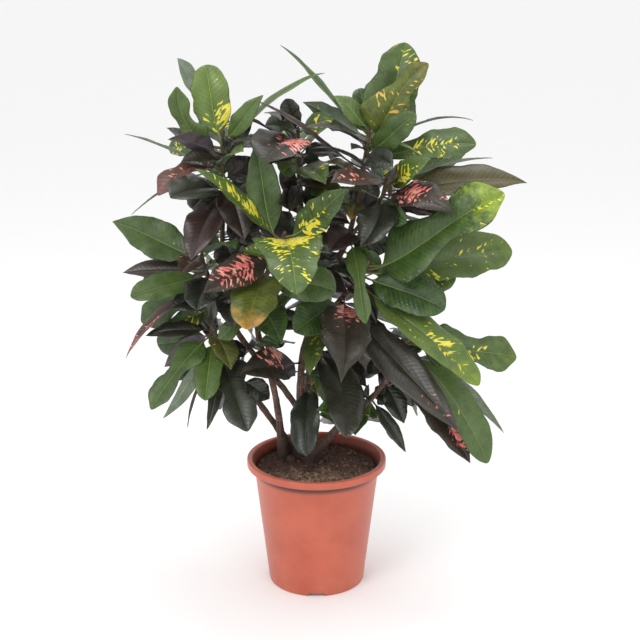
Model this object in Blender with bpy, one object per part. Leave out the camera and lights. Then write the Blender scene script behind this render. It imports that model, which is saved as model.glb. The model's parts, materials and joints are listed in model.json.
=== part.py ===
"""Potted croton: a moulded nursery pot, potting soil, five woody stems and their leaves.

Units are metres, +Z is up and the pot stands on z = 0 with its axis on the Z axis.
"""
import math

import bpy
from mathutils import Matrix, Quaternion, Vector
from mathutils.bvhtree import BVHTree

# ---------------------------------------------------------------- driving dimensions
POT_HEIGHT = 0.225
RIM_RADIUS = 0.120
RIM_BAND = 0.012
BODY_TOP_RADIUS = 0.108
LEDGE_RADIUS = 0.1125
BASE_RADIUS = 0.083
WALL = 0.002
FLOOR_TOP = 0.0095
FLOOR_UNDERSIDE = 0.007
POT_SEGMENTS = 56
NOTCH_WIDTH = 0.031
NOTCH_HEIGHT = 0.0055
DRAIN_RADIUS = 0.005
DRAIN_CIRCLE = 0.058
SOIL_TOP = 0.204
SOIL_DOME = 0.004
GAP = 0.0004
STEM_FOOT = 0.150
STEM_SIDES = 8
STEM_STEP = 0.022
PETIOLE_SHARE = 0.14
PETIOLE_HALF_WIDTH = 0.0018
PETIOLE_ABOVE = 0.0009
PETIOLE_BELOW = 0.0017
BLADE_ABOVE = 0.0005
BLADE_BELOW = 0.0008
CLEARANCE = 0.0012
FOLD = math.radians(9.0)

# ---------------------------------------------------------------- materials
MATERIALS = {
    "pot_plastic": ((0.58, 0.16, 0.10), 0.45),
    "potting_soil": ((0.13, 0.065, 0.04), 0.95),
    "stem_bark": ((0.17, 0.09, 0.055), 0.8),
    "leaf_green": ((0.085, 0.19, 0.035), 0.38),
    "leaf_blotched_yellow": ((0.20, 0.30, 0.03), 0.38),
    "leaf_dark": ((0.028, 0.022, 0.018), 0.32),
    "leaf_blotched_pink": ((0.16, 0.035, 0.035), 0.35),
    "leaf_olive": ((0.21, 0.17, 0.03), 0.4),
}

# ---------------------------------------------------------------- leaf outlines
# share of blade length, share of half width
OUTLINES = {
    "oval": [(0.0, 0.08), (0.08, 0.42), (0.20, 0.80), (0.34, 0.98), (0.48, 1.0),
             (0.62, 0.90), (0.75, 0.70), (0.87, 0.40), (0.95, 0.15)],
    "blunt": [(0.0, 0.08), (0.08, 0.46), (0.20, 0.80), (0.36, 0.96), (0.52, 1.0),
              (0.68, 0.97), (0.82, 0.83), (0.92, 0.58), (0.975, 0.28)],
    "drip": [(0.0, 0.08), (0.08, 0.50), (0.20, 0.86), (0.35, 1.0), (0.50, 1.0),
             (0.64, 0.90), (0.76, 0.62), (0.86, 0.28), (0.94, 0.10)],
    "lobed": [(0.0, 0.08), (0.09, 0.60), (0.21, 0.98), (0.33, 0.92), (0.46, 0.60),
              (0.58, 0.52), (0.71, 0.76), (0.84, 0.74), (0.94, 0.36)],
    "fiddle": [(0.0, 0.08), (0.09, 0.66), (0.21, 1.0), (0.35, 0.97), (0.49, 0.66),
               (0.62, 0.40), (0.75, 0.42), (0.87, 0.38), (0.95, 0.20)],
    "shield": [(0.0, 0.08), (0.09, 0.60), (0.20, 0.92), (0.32, 1.0), (0.45, 0.92),
               (0.57, 0.80), (0.70, 0.74), (0.83, 0.62), (0.94, 0.34)],
    "narrow": [(0.0, 0.12), (0.12, 0.55), (0.28, 0.90), (0.45, 1.0), (0.62, 0.90),
               (0.78, 0.62), (0.90, 0.30), (0.96, 0.14)],
    "spoon": [(0.0, 0.08), (0.12, 0.34), (0.28, 0.56), (0.45, 0.72), (0.60, 0.92),
              (0.74, 1.0), (0.86, 0.82), (0.95, 0.45)],
}

# ---------------------------------------------------------------- stems
# each shoot is a list of (x, y, z, radius); forks start on the axis of their parent
STEMS = {
    "stem_centre": {
        "centre": [(-0.030, 0.045, 0.150, 0.0075), (-0.030, 0.045, 0.214, 0.0075),
                   (-0.028, 0.045, 0.275, 0.0068), (-0.028, 0.045, 0.345, 0.0062),
                   (-0.022, 0.042, 0.407, 0.0055), (-0.005, 0.038, 0.457, 0.0050),
                   (0.030, 0.032, 0.555, 0.0045), (0.055, 0.030, 0.610, 0.0042),
                   (0.077, 0.030, 0.720, 0.0034), (0.087, 0.030, 0.790, 0.0022)],
        "upper_left": [(-0.029, 0.045, 0.290, 0.0048), (-0.058, 0.062, 0.328, 0.0050),
                       (-0.085, 0.066, 0.357, 0.0048), (-0.112, 0.058, 0.395, 0.0045),
                       (-0.138, 0.045, 0.440, 0.0042), (-0.155, 0.030, 0.500, 0.0040),
                       (-0.157, 0.022, 0.580, 0.0038), (-0.155, 0.020, 0.650, 0.0036),
                       (-0.153, 0.020, 0.730, 0.0030), (-0.152, 0.020, 0.785, 0.0022)],
        "upper_middle": [(-0.006, 0.038, 0.452, 0.0038), (-0.012, 0.055, 0.520, 0.0038),
                         (-0.022, 0.060, 0.600, 0.0034), (-0.028, 0.055, 0.700, 0.0030),
                         (-0.030, 0.050, 0.785, 0.0022)],
        "upper_right": [(0.050, 0.031, 0.598, 0.0034), (0.085, 0.015, 0.645, 0.0032),
                        (0.108, 0.000, 0.680, 0.0029), (0.115, -0.005, 0.712, 0.0022)],
        "middle_left": [(-0.151, 0.033, 0.485, 0.0034), (-0.172, 0.012, 0.525, 0.0032),
                        (-0.184, -0.008, 0.562, 0.0029), (-0.188, -0.020, 0.595, 0.0022)],
    },
    "stem_front_left": {
        "front_left": [(-0.060, 0.040, 0.150, 0.0060), (-0.060, 0.040, 0.214, 0.0060),
                       (-0.067, 0.040, 0.290, 0.0055), (-0.078, 0.036, 0.355, 0.0050),
                       (-0.098, 0.024, 0.430, 0.0046), (-0.100, 0.000, 0.500, 0.0040),
                       (-0.075, -0.030, 0.570, 0.0034), (-0.050, -0.050, 0.630, 0.0024)],
    },
    "stem_low_left": {
        "low_left": [(-0.050, 0.072, 0.150, 0.0055), (-0.050, 0.072, 0.214, 0.0055),
                     (-0.085, 0.066, 0.275, 0.0050), (-0.115, 0.048, 0.325, 0.0045),
                     (-0.145, 0.025, 0.375, 0.0040), (-0.168, 0.005, 0.420, 0.0032),
                     (-0.176, -0.010, 0.460, 0.0022)],
    },
    "stem_right": {
        "right": [(-0.008, 0.078, 0.150, 0.0060), (-0.008, 0.078, 0.214, 0.0060),
                  (-0.016, 0.072, 0.310, 0.0055), (-0.010, 0.064, 0.375, 0.0050),
                  (0.008, 0.055, 0.437, 0.0045), (0.040, 0.018, 0.500, 0.0040),
                  (0.070, -0.010, 0.540, 0.0032), (0.085, -0.020, 0.575, 0.0022)],
    },
    "stem_low_right": {
        "low_right": [(-0.012, 0.015, 0.150, 0.0075), (-0.012, 0.015, 0.214, 0.0075),
                      (0.012, 0.008, 0.247, 0.0072), (0.035, 0.000, 0.274, 0.0065),
                      (0.060, -0.010, 0.305, 0.0055), (0.100, -0.030, 0.350, 0.0045),
                      (0.130, -0.045, 0.400, 0.0036), (0.148, -0.050, 0.450, 0.0024)],
    },
}
STUB = [(-0.045, 0.012, 0.150, 0.0070), (-0.045, 0.012, 0.216, 0.0068)]

# ---------------------------------------------------------------- leaves
# name, shoot, height of its node, tip, width, (arch, sway), facing of the upper side,
# outline, material
LEAVES = [
    # top left crown
    ("top_left_1", "upper_left", 0.768, (-0.181, 0.060, 0.886), 0.062, (0.010, 0.000),
     (0.10, -1.00, 0.25), "blunt", "leaf_blotched_yellow"),
    ("top_left_2", "upper_left", 0.756, (-0.222, 0.000, 0.856), 0.045, (-0.004, 0.018),
     (0.00, -1.00, 0.30), "lobed", "leaf_green"),
    ("top_left_3", "upper_left", 0.746, (-0.232, -0.060, 0.780), 0.045, (0.010, 0.000),
     (0.10, 0.75, 0.65), "oval", "leaf_dark"),
    ("top_left_4", "upper_left", 0.722, (-0.310, 0.010, 0.780), 0.030, (0.004, 0.000),
     (0.00, 0.22, 0.97), "narrow", "leaf_green"),
    ("top_left_5", "upper_left", 0.730, (-0.252, -0.050, 0.690), 0.056, (0.022, 0.000),
     (-0.25, -0.65, 0.70), "lobed", "leaf_blotched_pink"),
    ("top_left_6", "upper_left", 0.690, (-0.222, -0.120, 0.700), 0.058, (0.010, 0.000),
     (0.00, -0.60, 0.80), "blunt", "leaf_dark"),
    ("top_left_7", "upper_left", 0.774, (0.014, 0.000, 0.878), 0.034, (0.014, 0.000),
     (-0.40, -0.25, 0.88), "narrow", "leaf_green"),
    # top right crown
    ("top_right_1", "centre", 0.775, (0.146, 0.070, 0.921), 0.092, (0.010, -0.004),
     (0.00, -0.95, 0.30), "shield", "leaf_blotched_yellow"),
    ("top_right_2", "centre", 0.766, (0.178, 0.000, 0.892), 0.088, (0.008, 0.014),
     (0.12, -0.92, 0.40), "fiddle", "leaf_olive"),
    ("top_right_3", "centre", 0.780, (-0.058, 0.010, 0.920), 0.030, (0.006, 0.000),
     (0.55, -0.25, 0.75), "narrow", "leaf_green"),
    ("top_right_4", "centre", 0.758, (0.252, 0.000, 0.803), 0.024, (0.020, 0.000),
     (0.00, 0.10, 0.99), "narrow", "leaf_green"),
    ("top_right_5", "centre", 0.738, (0.254, -0.030, 0.768), 0.056, (0.010, 0.006),
     (0.00, -0.85, 0.55), "spoon", "leaf_blotched_yellow"),
    ("top_right_6", "centre", 0.764, (-0.016, -0.070, 0.800), 0.036, (0.010, 0.000),
     (0.10, -0.20, 0.95), "oval", "leaf_dark"),
    ("top_right_7", "centre", 0.722, (-0.098, -0.020, 0.838), 0.032, (0.008, 0.000),
     (0.42, -0.20, 0.85), "narrow", "leaf_dark"),
    # top middle
    ("top_middle_1", "upper_middle", 0.765, (-0.078, -0.110, 0.752), 0.090, (0.016, 0.000),
     (-0.05, -0.75, 0.66), "blunt", "leaf_blotched_pink"),
    # right upper side
    ("upper_right_1", "upper_right", 0.700, (0.180, -0.060, 0.750), 0.048, (0.008, 0.000),
     (0.00, -0.75, 0.65), "oval", "leaf_blotched_yellow"),
    ("upper_right_2", "upper_right", 0.690, (0.340, -0.020, 0.705), 0.070, (0.018, 0.000),
     (0.05, -0.55, 0.83), "oval", "leaf_olive"),
    ("upper_right_3", "upper_right", 0.684, (0.214, -0.095, 0.670), 0.066, (0.020, 0.000),
     (0.10, -0.70, 0.70), "oval", "leaf_blotched_pink"),
    ("upper_right_4", "upper_right", 0.674, (0.070, -0.060, 0.608), 0.068, (0.012, 0.014),
     (-0.35, -0.85, 0.30), "oval", "leaf_dark"),
    ("upper_right_5", "centre", 0.602, (0.079, -0.080, 0.486), 0.036, (0.010, 0.000),
     (0.00, -0.95, 0.30), "lobed", "leaf_green"),
    # right side
    ("right_1", "right", 0.562, (0.294, -0.080, 0.699), 0.112, (0.016, 0.000),
     (-0.30, -0.75, 0.60), "lobed", "leaf_blotched_yellow"),
    ("right_2", "right", 0.568, (0.328, 0.030, 0.582), 0.086, (0.012, 0.000),
     (0.00, -0.80, 0.60), "blunt", "leaf_blotched_yellow"),
    ("right_3", "right", 0.550, (0.208, -0.070, 0.508), 0.076, (0.010, 0.000),
     (0.00, -0.60, 0.80), "blunt", "leaf_green"),
    ("right_4", "right", 0.538, (0.258, -0.140, 0.402), 0.066, (0.014, 0.000),
     (0.30, -0.60, 0.75), "blunt", "leaf_blotched_yellow"),
    ("right_5", "right", 0.500, (0.225, -0.170, 0.335), 0.064, (0.016, 0.000),
     (-0.10, -0.75, 0.65), "oval", "leaf_dark"),
    ("right_6", "low_right", 0.445, (0.332, -0.040, 0.417), 0.080, (0.010, 0.000),
     (0.00, -0.85, 0.55), "lobed", "leaf_blotched_yellow"),
    ("right_7", "low_right", 0.435, (0.277, -0.140, 0.270), 0.066, (0.018, 0.000),
     (0.35, -0.70, 0.60), "blunt", "leaf_green"),
    ("right_8", "low_right", 0.412, (0.250, -0.130, 0.265), 0.058, (0.012, 0.000),
     (0.00, -0.75, 0.65), "oval", "leaf_blotched_pink"),
    # front and centre
    ("front_1", "front_left", 0.622, (-0.028, -0.250, 0.580), 0.112, (0.030, 0.000),
     (0.05, -0.55, 0.83), "shield", "leaf_blotched_yellow"),
    ("front_2", "front_left", 0.564, (-0.107, -0.170, 0.503), 0.076, (0.014, 0.000),
     (-0.10, -0.85, 0.50), "blunt", "leaf_olive"),
    ("front_3", "front_left", 0.588, (-0.175, -0.150, 0.556), 0.058, (0.005, 0.000),
     (0.00, -0.80, 0.60), "oval", "leaf_blotched_pink"),
    ("front_4", "front_left", 0.618, (-0.186, -0.110, 0.742), 0.048, (0.010, 0.000),
     (0.42, -0.42, 0.80), "narrow", "leaf_blotched_yellow"),
    ("front_5", "front_left", 0.610, (-0.097, -0.030, 0.773), 0.056, (0.006, 0.000),
     (0.10, -0.95, 0.30), "oval", "leaf_green"),
    ("front_6", "front_left", 0.624, (0.050, -0.100, 0.710), 0.054, (0.006, 0.000),
     (0.10, -0.85, 0.50), "oval", "leaf_blotched_yellow"),
    ("front_7", "right", 0.510, (0.038, -0.200, 0.425), 0.082, (0.022, 0.000),
     (0.00, -0.72, 0.68), "drip", "leaf_blotched_pink"),
    ("front_8", "right", 0.400, (0.048, -0.130, 0.310), 0.066, (0.016, 0.016),
     (0.05, -0.60, 0.80), "blunt", "leaf_dark"),
    ("front_9", "centre", 0.382, (-0.124, -0.100, 0.408), 0.064, (0.014, 0.000),
     (0.10, -0.80, 0.60), "oval", "leaf_blotched_pink"),
    # left side
    ("left_1", "middle_left", 0.578, (-0.335, 0.000, 0.638), 0.068, (-0.006, -0.006),
     (0.10, -0.85, 0.52), "oval", "leaf_green"),
    ("left_2", "middle_left", 0.560, (-0.320, -0.010, 0.554), 0.042, (0.006, 0.000),
     (0.00, -0.60, 0.80), "oval", "leaf_dark"),
    ("left_3", "middle_left", 0.552, (-0.298, -0.060, 0.530), 0.046, (0.006, 0.000),
     (0.00, -0.82, 0.55), "blunt", "leaf_green"),
    ("left_4", "upper_left", 0.670, (-0.200, -0.080, 0.590), 0.062, (0.012, 0.000),
     (-0.20, -0.85, 0.50), "oval", "leaf_dark"),
    ("left_5", "upper_left", 0.520, (-0.318, -0.030, 0.412), 0.032, (0.024, 0.000),
     (-0.60, -0.40, 0.70), "narrow", "leaf_blotched_pink"),
    ("left_6", "low_left", 0.448, (-0.266, -0.120, 0.354), 0.054, (0.012, 0.000),
     (-0.20, -0.75, 0.60), "lobed", "leaf_green"),
    ("left_7", "low_left", 0.438, (-0.178, -0.130, 0.370), 0.046, (0.010, 0.000),
     (0.00, -0.85, 0.50), "blunt", "leaf_blotched_yellow"),
    ("left_8", "low_left", 0.415, (-0.110, -0.140, 0.324), 0.072, (0.012, 0.000),
     (0.10, -0.85, 0.50), "lobed", "leaf_dark"),
    # back
    ("back_1", "upper_left", 0.750, (-0.200, 0.220, 0.800), 0.062, (0.020, 0.000),
     (0.00, 0.20, 1.00), "lobed", "leaf_blotched_yellow"),
    ("back_2", "upper_left", 0.690, (-0.260, 0.170, 0.665), 0.060, (0.016, 0.000),
     (-0.10, 0.60, 0.80), "oval", "leaf_dark"),
    ("back_3", "centre", 0.755, (0.160, 0.220, 0.820), 0.064, (0.020, 0.000),
     (0.00, 0.20, 1.00), "lobed", "leaf_green"),
    ("back_4", "centre", 0.710, (0.120, 0.250, 0.680), 0.070, (0.020, 0.000),
     (0.00, 0.50, 0.85), "drip", "leaf_blotched_pink"),
    ("back_5", "upper_middle", 0.750, (-0.060, 0.240, 0.740), 0.066, (0.020, 0.000),
     (0.00, 0.40, 0.90), "oval", "leaf_blotched_yellow"),
    ("back_6", "right", 0.545, (0.220, 0.200, 0.500), 0.066, (0.016, 0.000),
     (0.10, 0.50, 0.85), "lobed", "leaf_green"),
    ("back_7", "low_left", 0.430, (-0.220, 0.190, 0.400), 0.062, (0.016, 0.000),
     (-0.10, 0.60, 0.80), "blunt", "leaf_dark"),
]


# ---------------------------------------------------------------- mesh helpers
def make_material(slot):
    if slot in bpy.data.materials:
        return bpy.data.materials[slot]
    colour, roughness = MATERIALS[slot]
    material = bpy.data.materials.new(slot)
    material.use_nodes = True
    shader = material.node_tree.nodes["Principled BSDF"]
    shader.inputs["Base Color"].default_value = (*colour, 1.0)
    shader.inputs["Roughness"].default_value = roughness
    shader.inputs["Metallic"].default_value = 0.0
    material.diffuse_color = (*colour, 1.0)
    return material


def make_object(name, verts, faces, slot, smooth=True):
    mesh = bpy.data.meshes.new(name)
    mesh.from_pydata([tuple(v) for v in verts], [], faces)
    mesh.validate()
    obj = bpy.data.objects.new(name, mesh)
    bpy.context.scene.collection.objects.link(obj)
    if slot:
        mesh.materials.append(make_material(slot))
    for polygon in mesh.polygons:
        polygon.use_smooth = smooth
    return obj


def remove_object(obj):
    bpy.data.objects.remove(obj, do_unlink=True)


def boolean(target, cutter, operation):
    cutter.hide_render = True
    cutter.display_type = "WIRE"
    modifier = target.modifiers.new(operation.title(), "BOOLEAN")
    modifier.object = cutter
    modifier.operation = operation
    modifier.solver = "EXACT"
    depsgraph = bpy.context.evaluated_depsgraph_get()
    mesh = bpy.data.meshes.new_from_object(target.evaluated_get(depsgraph))
    target.modifiers.clear()
    target.data = mesh
    remove_object(cutter)


def revolve(profile, segments):
    """Closed surface from an (r, z) outline; points with r = 0 become poles."""
    verts = []
    rows = []
    for radius, height in profile:
        if radius <= 0.0:
            rows.append([len(verts)])
            verts.append(Vector((0.0, 0.0, height)))
            continue
        row = []
        for step in range(segments):
            angle = 2.0 * math.pi * (step + 0.5) / segments
            row.append(len(verts))
            verts.append(Vector((radius * math.cos(angle), radius * math.sin(angle), height)))
        rows.append(row)
    faces = []
    for index in range(len(rows) - 1):
        lower = rows[index]
        upper = rows[index + 1]
        for step in range(segments):
            following = (step + 1) % segments
            if len(lower) == 1:
                faces.append((lower[0], upper[following], upper[step]))
            elif len(upper) == 1:
                faces.append((lower[step], lower[following], upper[0]))
            else:
                faces.append((lower[step], lower[following], upper[following], upper[step]))
    return verts, faces


def sweep_tube(points, radii, sides):
    """Closed round tube along points, with flat ends."""
    verts = []
    faces = []
    side = None
    count = len(points)
    for index, point in enumerate(points):
        before = points[max(index - 1, 0)]
        after = points[min(index + 1, count - 1)]
        tangent = (after - before).normalized()
        if side is None:
            side = tangent.orthogonal().normalized()
        side = (side - tangent * side.dot(tangent)).normalized()
        other = tangent.cross(side)
        for step in range(sides):
            angle = 2.0 * math.pi * step / sides
            offset = side * math.cos(angle) + other * math.sin(angle)
            verts.append(point + offset * radii[index])
    for index in range(count - 1):
        start = index * sides
        for step in range(sides):
            following = (step + 1) % sides
            faces.append((start + step, start + following,
                          start + sides + following, start + sides + step))
    faces.append(tuple(reversed(range(sides))))
    faces.append(tuple(range((count - 1) * sides, count * sides)))
    return verts, faces


def smooth_path(controls):
    """Straight first stretch, then a Catmull-Rom path, points about STEM_STEP apart."""
    points = [Vector(control[:3]) for control in controls]
    radii = [control[3] for control in controls]
    path = [points[0]]
    widths = [radii[0]]
    last = len(points) - 1
    for index in range(last):
        p1 = points[index]
        p2 = points[index + 1]
        p0 = points[index - 1] if index > 0 else p1 * 2.0 - p2
        p3 = points[index + 2] if index + 2 <= last else p2 * 2.0 - p1
        pieces = max(1, round((p2 - p1).length / STEM_STEP))
        if index == 0:
            path.append(p2)
            widths.append(radii[1])
            continue
        for piece in range(1, pieces + 1):
            t = piece / pieces
            bend = (p2 - p0) * t + (p0 * 2.0 - p1 * 5.0 + p2 * 4.0 - p3) * t ** 2
            bend += (p1 * 3.0 - p0 - p2 * 3.0 + p3) * t ** 3
            path.append(p1 + bend * 0.5)
            widths.append(radii[index] + (radii[index + 1] - radii[index]) * t)
    return path, widths


# ---------------------------------------------------------------- pot and soil
def inner_radius(height):
    share = height / (POT_HEIGHT - RIM_BAND)
    return BASE_RADIUS + (BODY_TOP_RADIUS - BASE_RADIUS) * share - WALL


def build_pot():
    band_foot = POT_HEIGHT - RIM_BAND
    profile = [
        (0.0, FLOOR_UNDERSIDE),
        (BASE_RADIUS - 0.0085, FLOOR_UNDERSIDE),
        (BASE_RADIUS - 0.0065, 0.0),
        (BASE_RADIUS, 0.0),
        (BODY_TOP_RADIUS, band_foot),
        (LEDGE_RADIUS, band_foot + 0.0085),
        (RIM_RADIUS - 0.0022, band_foot + 0.0085),
        (RIM_RADIUS - 0.0020, band_foot),
        (RIM_RADIUS - 0.0004, band_foot),
        (RIM_RADIUS, band_foot + 0.0010),
        (RIM_RADIUS, POT_HEIGHT - 0.0022),
        (RIM_RADIUS - 0.0016, POT_HEIGHT),
        (LEDGE_RADIUS, POT_HEIGHT - 0.0006),
        (LEDGE_RADIUS - 0.0020, POT_HEIGHT - 0.0030),
        (inner_radius(band_foot), band_foot),
        (inner_radius(FLOOR_TOP + 0.0030), FLOOR_TOP + 0.0030),
        (inner_radius(FLOOR_TOP) - 0.0030, FLOOR_TOP),
        (0.0, FLOOR_TOP),
    ]
    verts, faces = revolve(profile, POT_SEGMENTS)
    pot = make_object("pot", verts, faces, "pot_plastic")
    for quarter in range(4):
        angle = math.radians(90.0 * quarter)
        turn = Matrix.Rotation(angle, 4, "Z")
        half = NOTCH_WIDTH / 2.0
        corners = []
        for z in (-0.002, NOTCH_HEIGHT):
            for x, y in ((-half, -0.095), (half, -0.095), (half, -0.068), (-half, -0.068)):
                corners.append(turn @ Vector((x, y, z)))
        box_faces = [(3, 2, 1, 0), (4, 5, 6, 7), (0, 1, 5, 4), (1, 2, 6, 5), (2, 3, 7, 6),
                     (3, 0, 4, 7)]
        boolean(pot, make_object("notch", corners, box_faces, None), "DIFFERENCE")
        centre = turn @ Vector((0.0, -DRAIN_CIRCLE, 0.0))
        line = [centre, centre + Vector((0.0, 0.0, 0.02))]
        tube_verts, tube_faces = sweep_tube(line, [DRAIN_RADIUS] * 2, 16)
        boolean(pot, make_object("drain", tube_verts, tube_faces, None), "DIFFERENCE")
    return pot


def build_soil():
    floor = FLOOR_TOP + GAP
    profile = [
        (0.0, floor),
        (inner_radius(floor) - 0.0030 - GAP, floor),
        (inner_radius(floor + 0.0030) - GAP, floor + 0.0030),
        (inner_radius(SOIL_TOP - 0.002) - GAP, SOIL_TOP - 0.002),
        (inner_radius(SOIL_TOP) - 0.003, SOIL_TOP),
        (0.085, SOIL_TOP + SOIL_DOME * 0.5),
        (0.060, SOIL_TOP + SOIL_DOME * 0.3),
        (0.030, SOIL_TOP + SOIL_DOME),
        (0.0, SOIL_TOP + SOIL_DOME * 0.8),
    ]
    verts, faces = revolve(profile, POT_SEGMENTS)
    soil = make_object("soil", verts, faces, "potting_soil")
    feet = [shoots[next(iter(shoots))][0] for shoots in STEMS.values()]
    feet.append(STUB[0])
    for x, y, z, radius in feet:
        line = [Vector((x, y, z - GAP)), Vector((x, y, 0.23))]
        socket_verts, socket_faces = sweep_tube(line, [radius + GAP] * 2, STEM_SIDES)
        boolean(soil, make_object("socket", socket_verts, socket_faces, None), "DIFFERENCE")
    return soil


# ---------------------------------------------------------------- stems
def build_stems():
    stems = []
    shoots = {}
    for stem_name, branches in STEMS.items():
        stem = None
        for shoot, controls in branches.items():
            path, widths = smooth_path(controls)
            shoots[shoot] = (path, widths)
            end = path[-1] + (path[-1] - path[-2]).normalized() * widths[-1] * 0.8
            verts, faces = sweep_tube(path + [end], widths + [widths[-1] * 0.5], STEM_SIDES)
            if stem is None:
                stem = make_object(stem_name, verts, faces, "stem_bark")
            else:
                boolean(stem, make_object("fork", verts, faces, None), "UNION")
        stems.append(stem)
    top = Vector(STUB[1][:3])
    line = [Vector(STUB[0][:3]), top, top + Vector((0.001, 0.0, 0.0012))]
    verts, faces = sweep_tube(line, [STUB[0][3], STUB[1][3], STUB[1][3] * 0.8], STEM_SIDES)
    stems.append(make_object("stem_cut_stub", verts, faces, "stem_bark"))
    return stems, shoots


def node_on(shoot, height):
    """Axis point, direction and radius of a shoot where it reaches a height."""
    path, widths = shoot
    for index in range(len(path) - 1):
        low = path[index]
        high = path[index + 1]
        if low.z <= height <= high.z:
            share = (height - low.z) / (high.z - low.z)
            radius = widths[index] + (widths[index + 1] - widths[index]) * share
            return low.lerp(high, share), (high - low).normalized(), radius
    return path[-1], (path[-1] - path[-2]).normalized(), widths[-1]


# ---------------------------------------------------------------- leaves
def outline_width(outline, share):
    for (u0, w0), (u1, w1) in zip(outline, outline[1:]):
        if u0 <= share <= u1:
            return w0 + (w1 - w0) * (share - u0) / (u1 - u0)
    return 0.0


def leaf_mesh(shoot, spec, lean, swivel, extra):
    """Rings of left edge, midrib top, right edge and midrib underside, then the tip."""
    name, shoot_name, height, tip, width, (arch, sway), facing, form, slot = spec
    node, stem_dir, radius = node_on(shoot, height)
    tip = Vector(tip) + Vector((0.0, lean, 0.0))
    chord = tip - node
    radial = (chord - stem_dir * chord.dot(stem_dir)).normalized()
    start = node + radial * (radius + 0.0005)
    chord = tip - start
    length = chord.length
    face = Vector(facing)
    lift = (face - chord * face.dot(chord) / chord.length_squared).normalized()
    lift.rotate(Quaternion(chord.normalized(), math.radians(swivel)))
    bow = lift * arch + chord.cross(lift).normalized() * -sway
    control_1 = start + radial * length * 0.16 + chord * 0.15 + bow * 0.8
    control_2 = tip - chord * 0.34 + bow * 1.7

    outline = OUTLINES[form]
    shares = [0.0, 0.07, PETIOLE_SHARE]
    for u, w in outline[1:]:
        shares.append(PETIOLE_SHARE + u * (1.0 - PETIOLE_SHARE))
    shares.append(1.0)

    def on_curve(t):
        s = 1.0 - t
        point = start * s ** 3 + control_1 * 3.0 * s * s * t
        return point + control_2 * 3.0 * s * t * t + tip * t ** 3

    centres = [on_curve(t) for t in shares]
    tangents = []
    for t in shares:
        before = on_curve(max(t - 0.02, 0.0))
        after = on_curve(min(t + 0.02, 1.0))
        tangents.append((after - before).normalized())
    tangents[0] = radial
    middle = len(shares) // 2
    normals = [None] * len(shares)
    normal = lift - tangents[middle] * lift.dot(tangents[middle])
    normals[middle] = normal.normalized()
    for order in (range(middle + 1, len(shares)), range(middle - 1, -1, -1)):
        normal = normals[middle]
        for index in order:
            tangent = tangents[index]
            normal = (normal - tangent * normal.dot(tangent)).normalized()
            normals[index] = normal

    verts = []
    rings = len(shares) - 1
    for index in range(rings):
        blade = index >= 2
        across = tangents[index].cross(normals[index])
        up = normals[index]
        if blade:
            half = max(outline[index - 2][1] * width / 2.0, PETIOLE_HALF_WIDTH)
            above = BLADE_ABOVE + extra
            below = BLADE_BELOW + extra
            if index == 2:
                above = PETIOLE_ABOVE
                below = PETIOLE_BELOW
            rise = half * math.sin(FOLD)
            half = half * math.cos(FOLD) + extra
        else:
            half = PETIOLE_HALF_WIDTH
            above = PETIOLE_ABOVE
            below = PETIOLE_BELOW
            rise = 0.0
        centre = centres[index]
        verts.append(centre - across * half + up * rise)
        verts.append(centre + up * above)
        verts.append(centre + across * half + up * rise)
        verts.append(centre - up * below)
    verts.append(centres[-1] + (centres[-1] - centres[-2]).normalized() * extra)
    faces = [(3, 2, 1, 0)]
    for index in range(rings - 1):
        start_index = index * 4
        for step in range(4):
            following = (step + 1) % 4
            faces.append((start_index + step, start_index + following,
                          start_index + 4 + following, start_index + 4 + step))
    last = (rings - 1) * 4
    for step in range(4):
        faces.append((last + step, last + (step + 1) % 4, rings * 4))
    return verts, faces


def split_quads(faces):
    triangles = []
    for face in faces:
        for index in range(1, len(face) - 1):
            triangles.append((face[0], face[index], face[index + 1]))
    return triangles


def tree_of(verts, faces):
    return BVHTree.FromPolygons([tuple(v) for v in verts], split_quads(faces))


def box_of(verts):
    low = [min(v[axis] for v in verts) for axis in range(3)]
    high = [max(v[axis] for v in verts) for axis in range(3)]
    return low, high


def boxes_meet(one, other):
    for axis in range(3):
        if one[0][axis] > other[1][axis] or other[0][axis] > one[1][axis]:
            return False
    return True


LEANS = (0.0, 0.008, -0.008, 0.016, -0.016, 0.026, -0.026, 0.038, -0.038, 0.052, -0.052)
SWIVELS = (0.0, 12.0, -12.0, 25.0, -25.0, 40.0, -40.0)


def build_leaves(shoots, solids):
    """Leaves in order; each leans or swivels just enough to grow clear of its neighbours."""
    placed = []
    for obj in solids:
        verts = [v.co for v in obj.data.vertices]
        faces = [tuple(p.vertices) for p in obj.data.polygons]
        placed.append((obj.name, box_of(verts), tree_of(verts, faces)))
    poses = sorted(((lean, swivel) for lean in LEANS for swivel in SWIVELS),
                   key=lambda pose: abs(pose[0]) / 0.008 + abs(pose[1]) / 10.0)
    for spec in LEAVES:
        shoot = shoots[spec[1]]
        chosen = None
        for lean, swivel in poses:
            verts, faces = leaf_mesh(shoot, spec, lean, swivel, CLEARANCE)
            box = box_of(verts)
            tree = tree_of(verts, faces)
            clear = True
            for name, other_box, other_tree in placed:
                if boxes_meet(box, other_box) and tree.overlap(other_tree):
                    clear = False
                    break
            if clear:
                chosen = (lean, swivel)
                break
        if chosen is None:
            print("no clear pose for", spec[0])
            chosen = (0.0, 0.0)
        elif chosen != (0.0, 0.0):
            print("adjusted", spec[0], chosen)
        verts, faces = leaf_mesh(shoot, spec, chosen[0], chosen[1], 0.0)
        make_object("leaf_" + spec[0], verts, split_quads(faces), spec[8])
        placed.append((spec[0], box_of(verts), tree_of(verts, faces)))


# ---------------------------------------------------------------- assembly
for item in list(bpy.data.objects):
    bpy.data.objects.remove(item, do_unlink=True)
for item in list(bpy.data.materials):
    bpy.data.materials.remove(item)

pot_object = build_pot()
soil_object = build_soil()
stem_objects, shoot_paths = build_stems()
build_leaves(shoot_paths, [pot_object, soil_object] + stem_objects)
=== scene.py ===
"""Looks of the potted croton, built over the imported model."""

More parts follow.
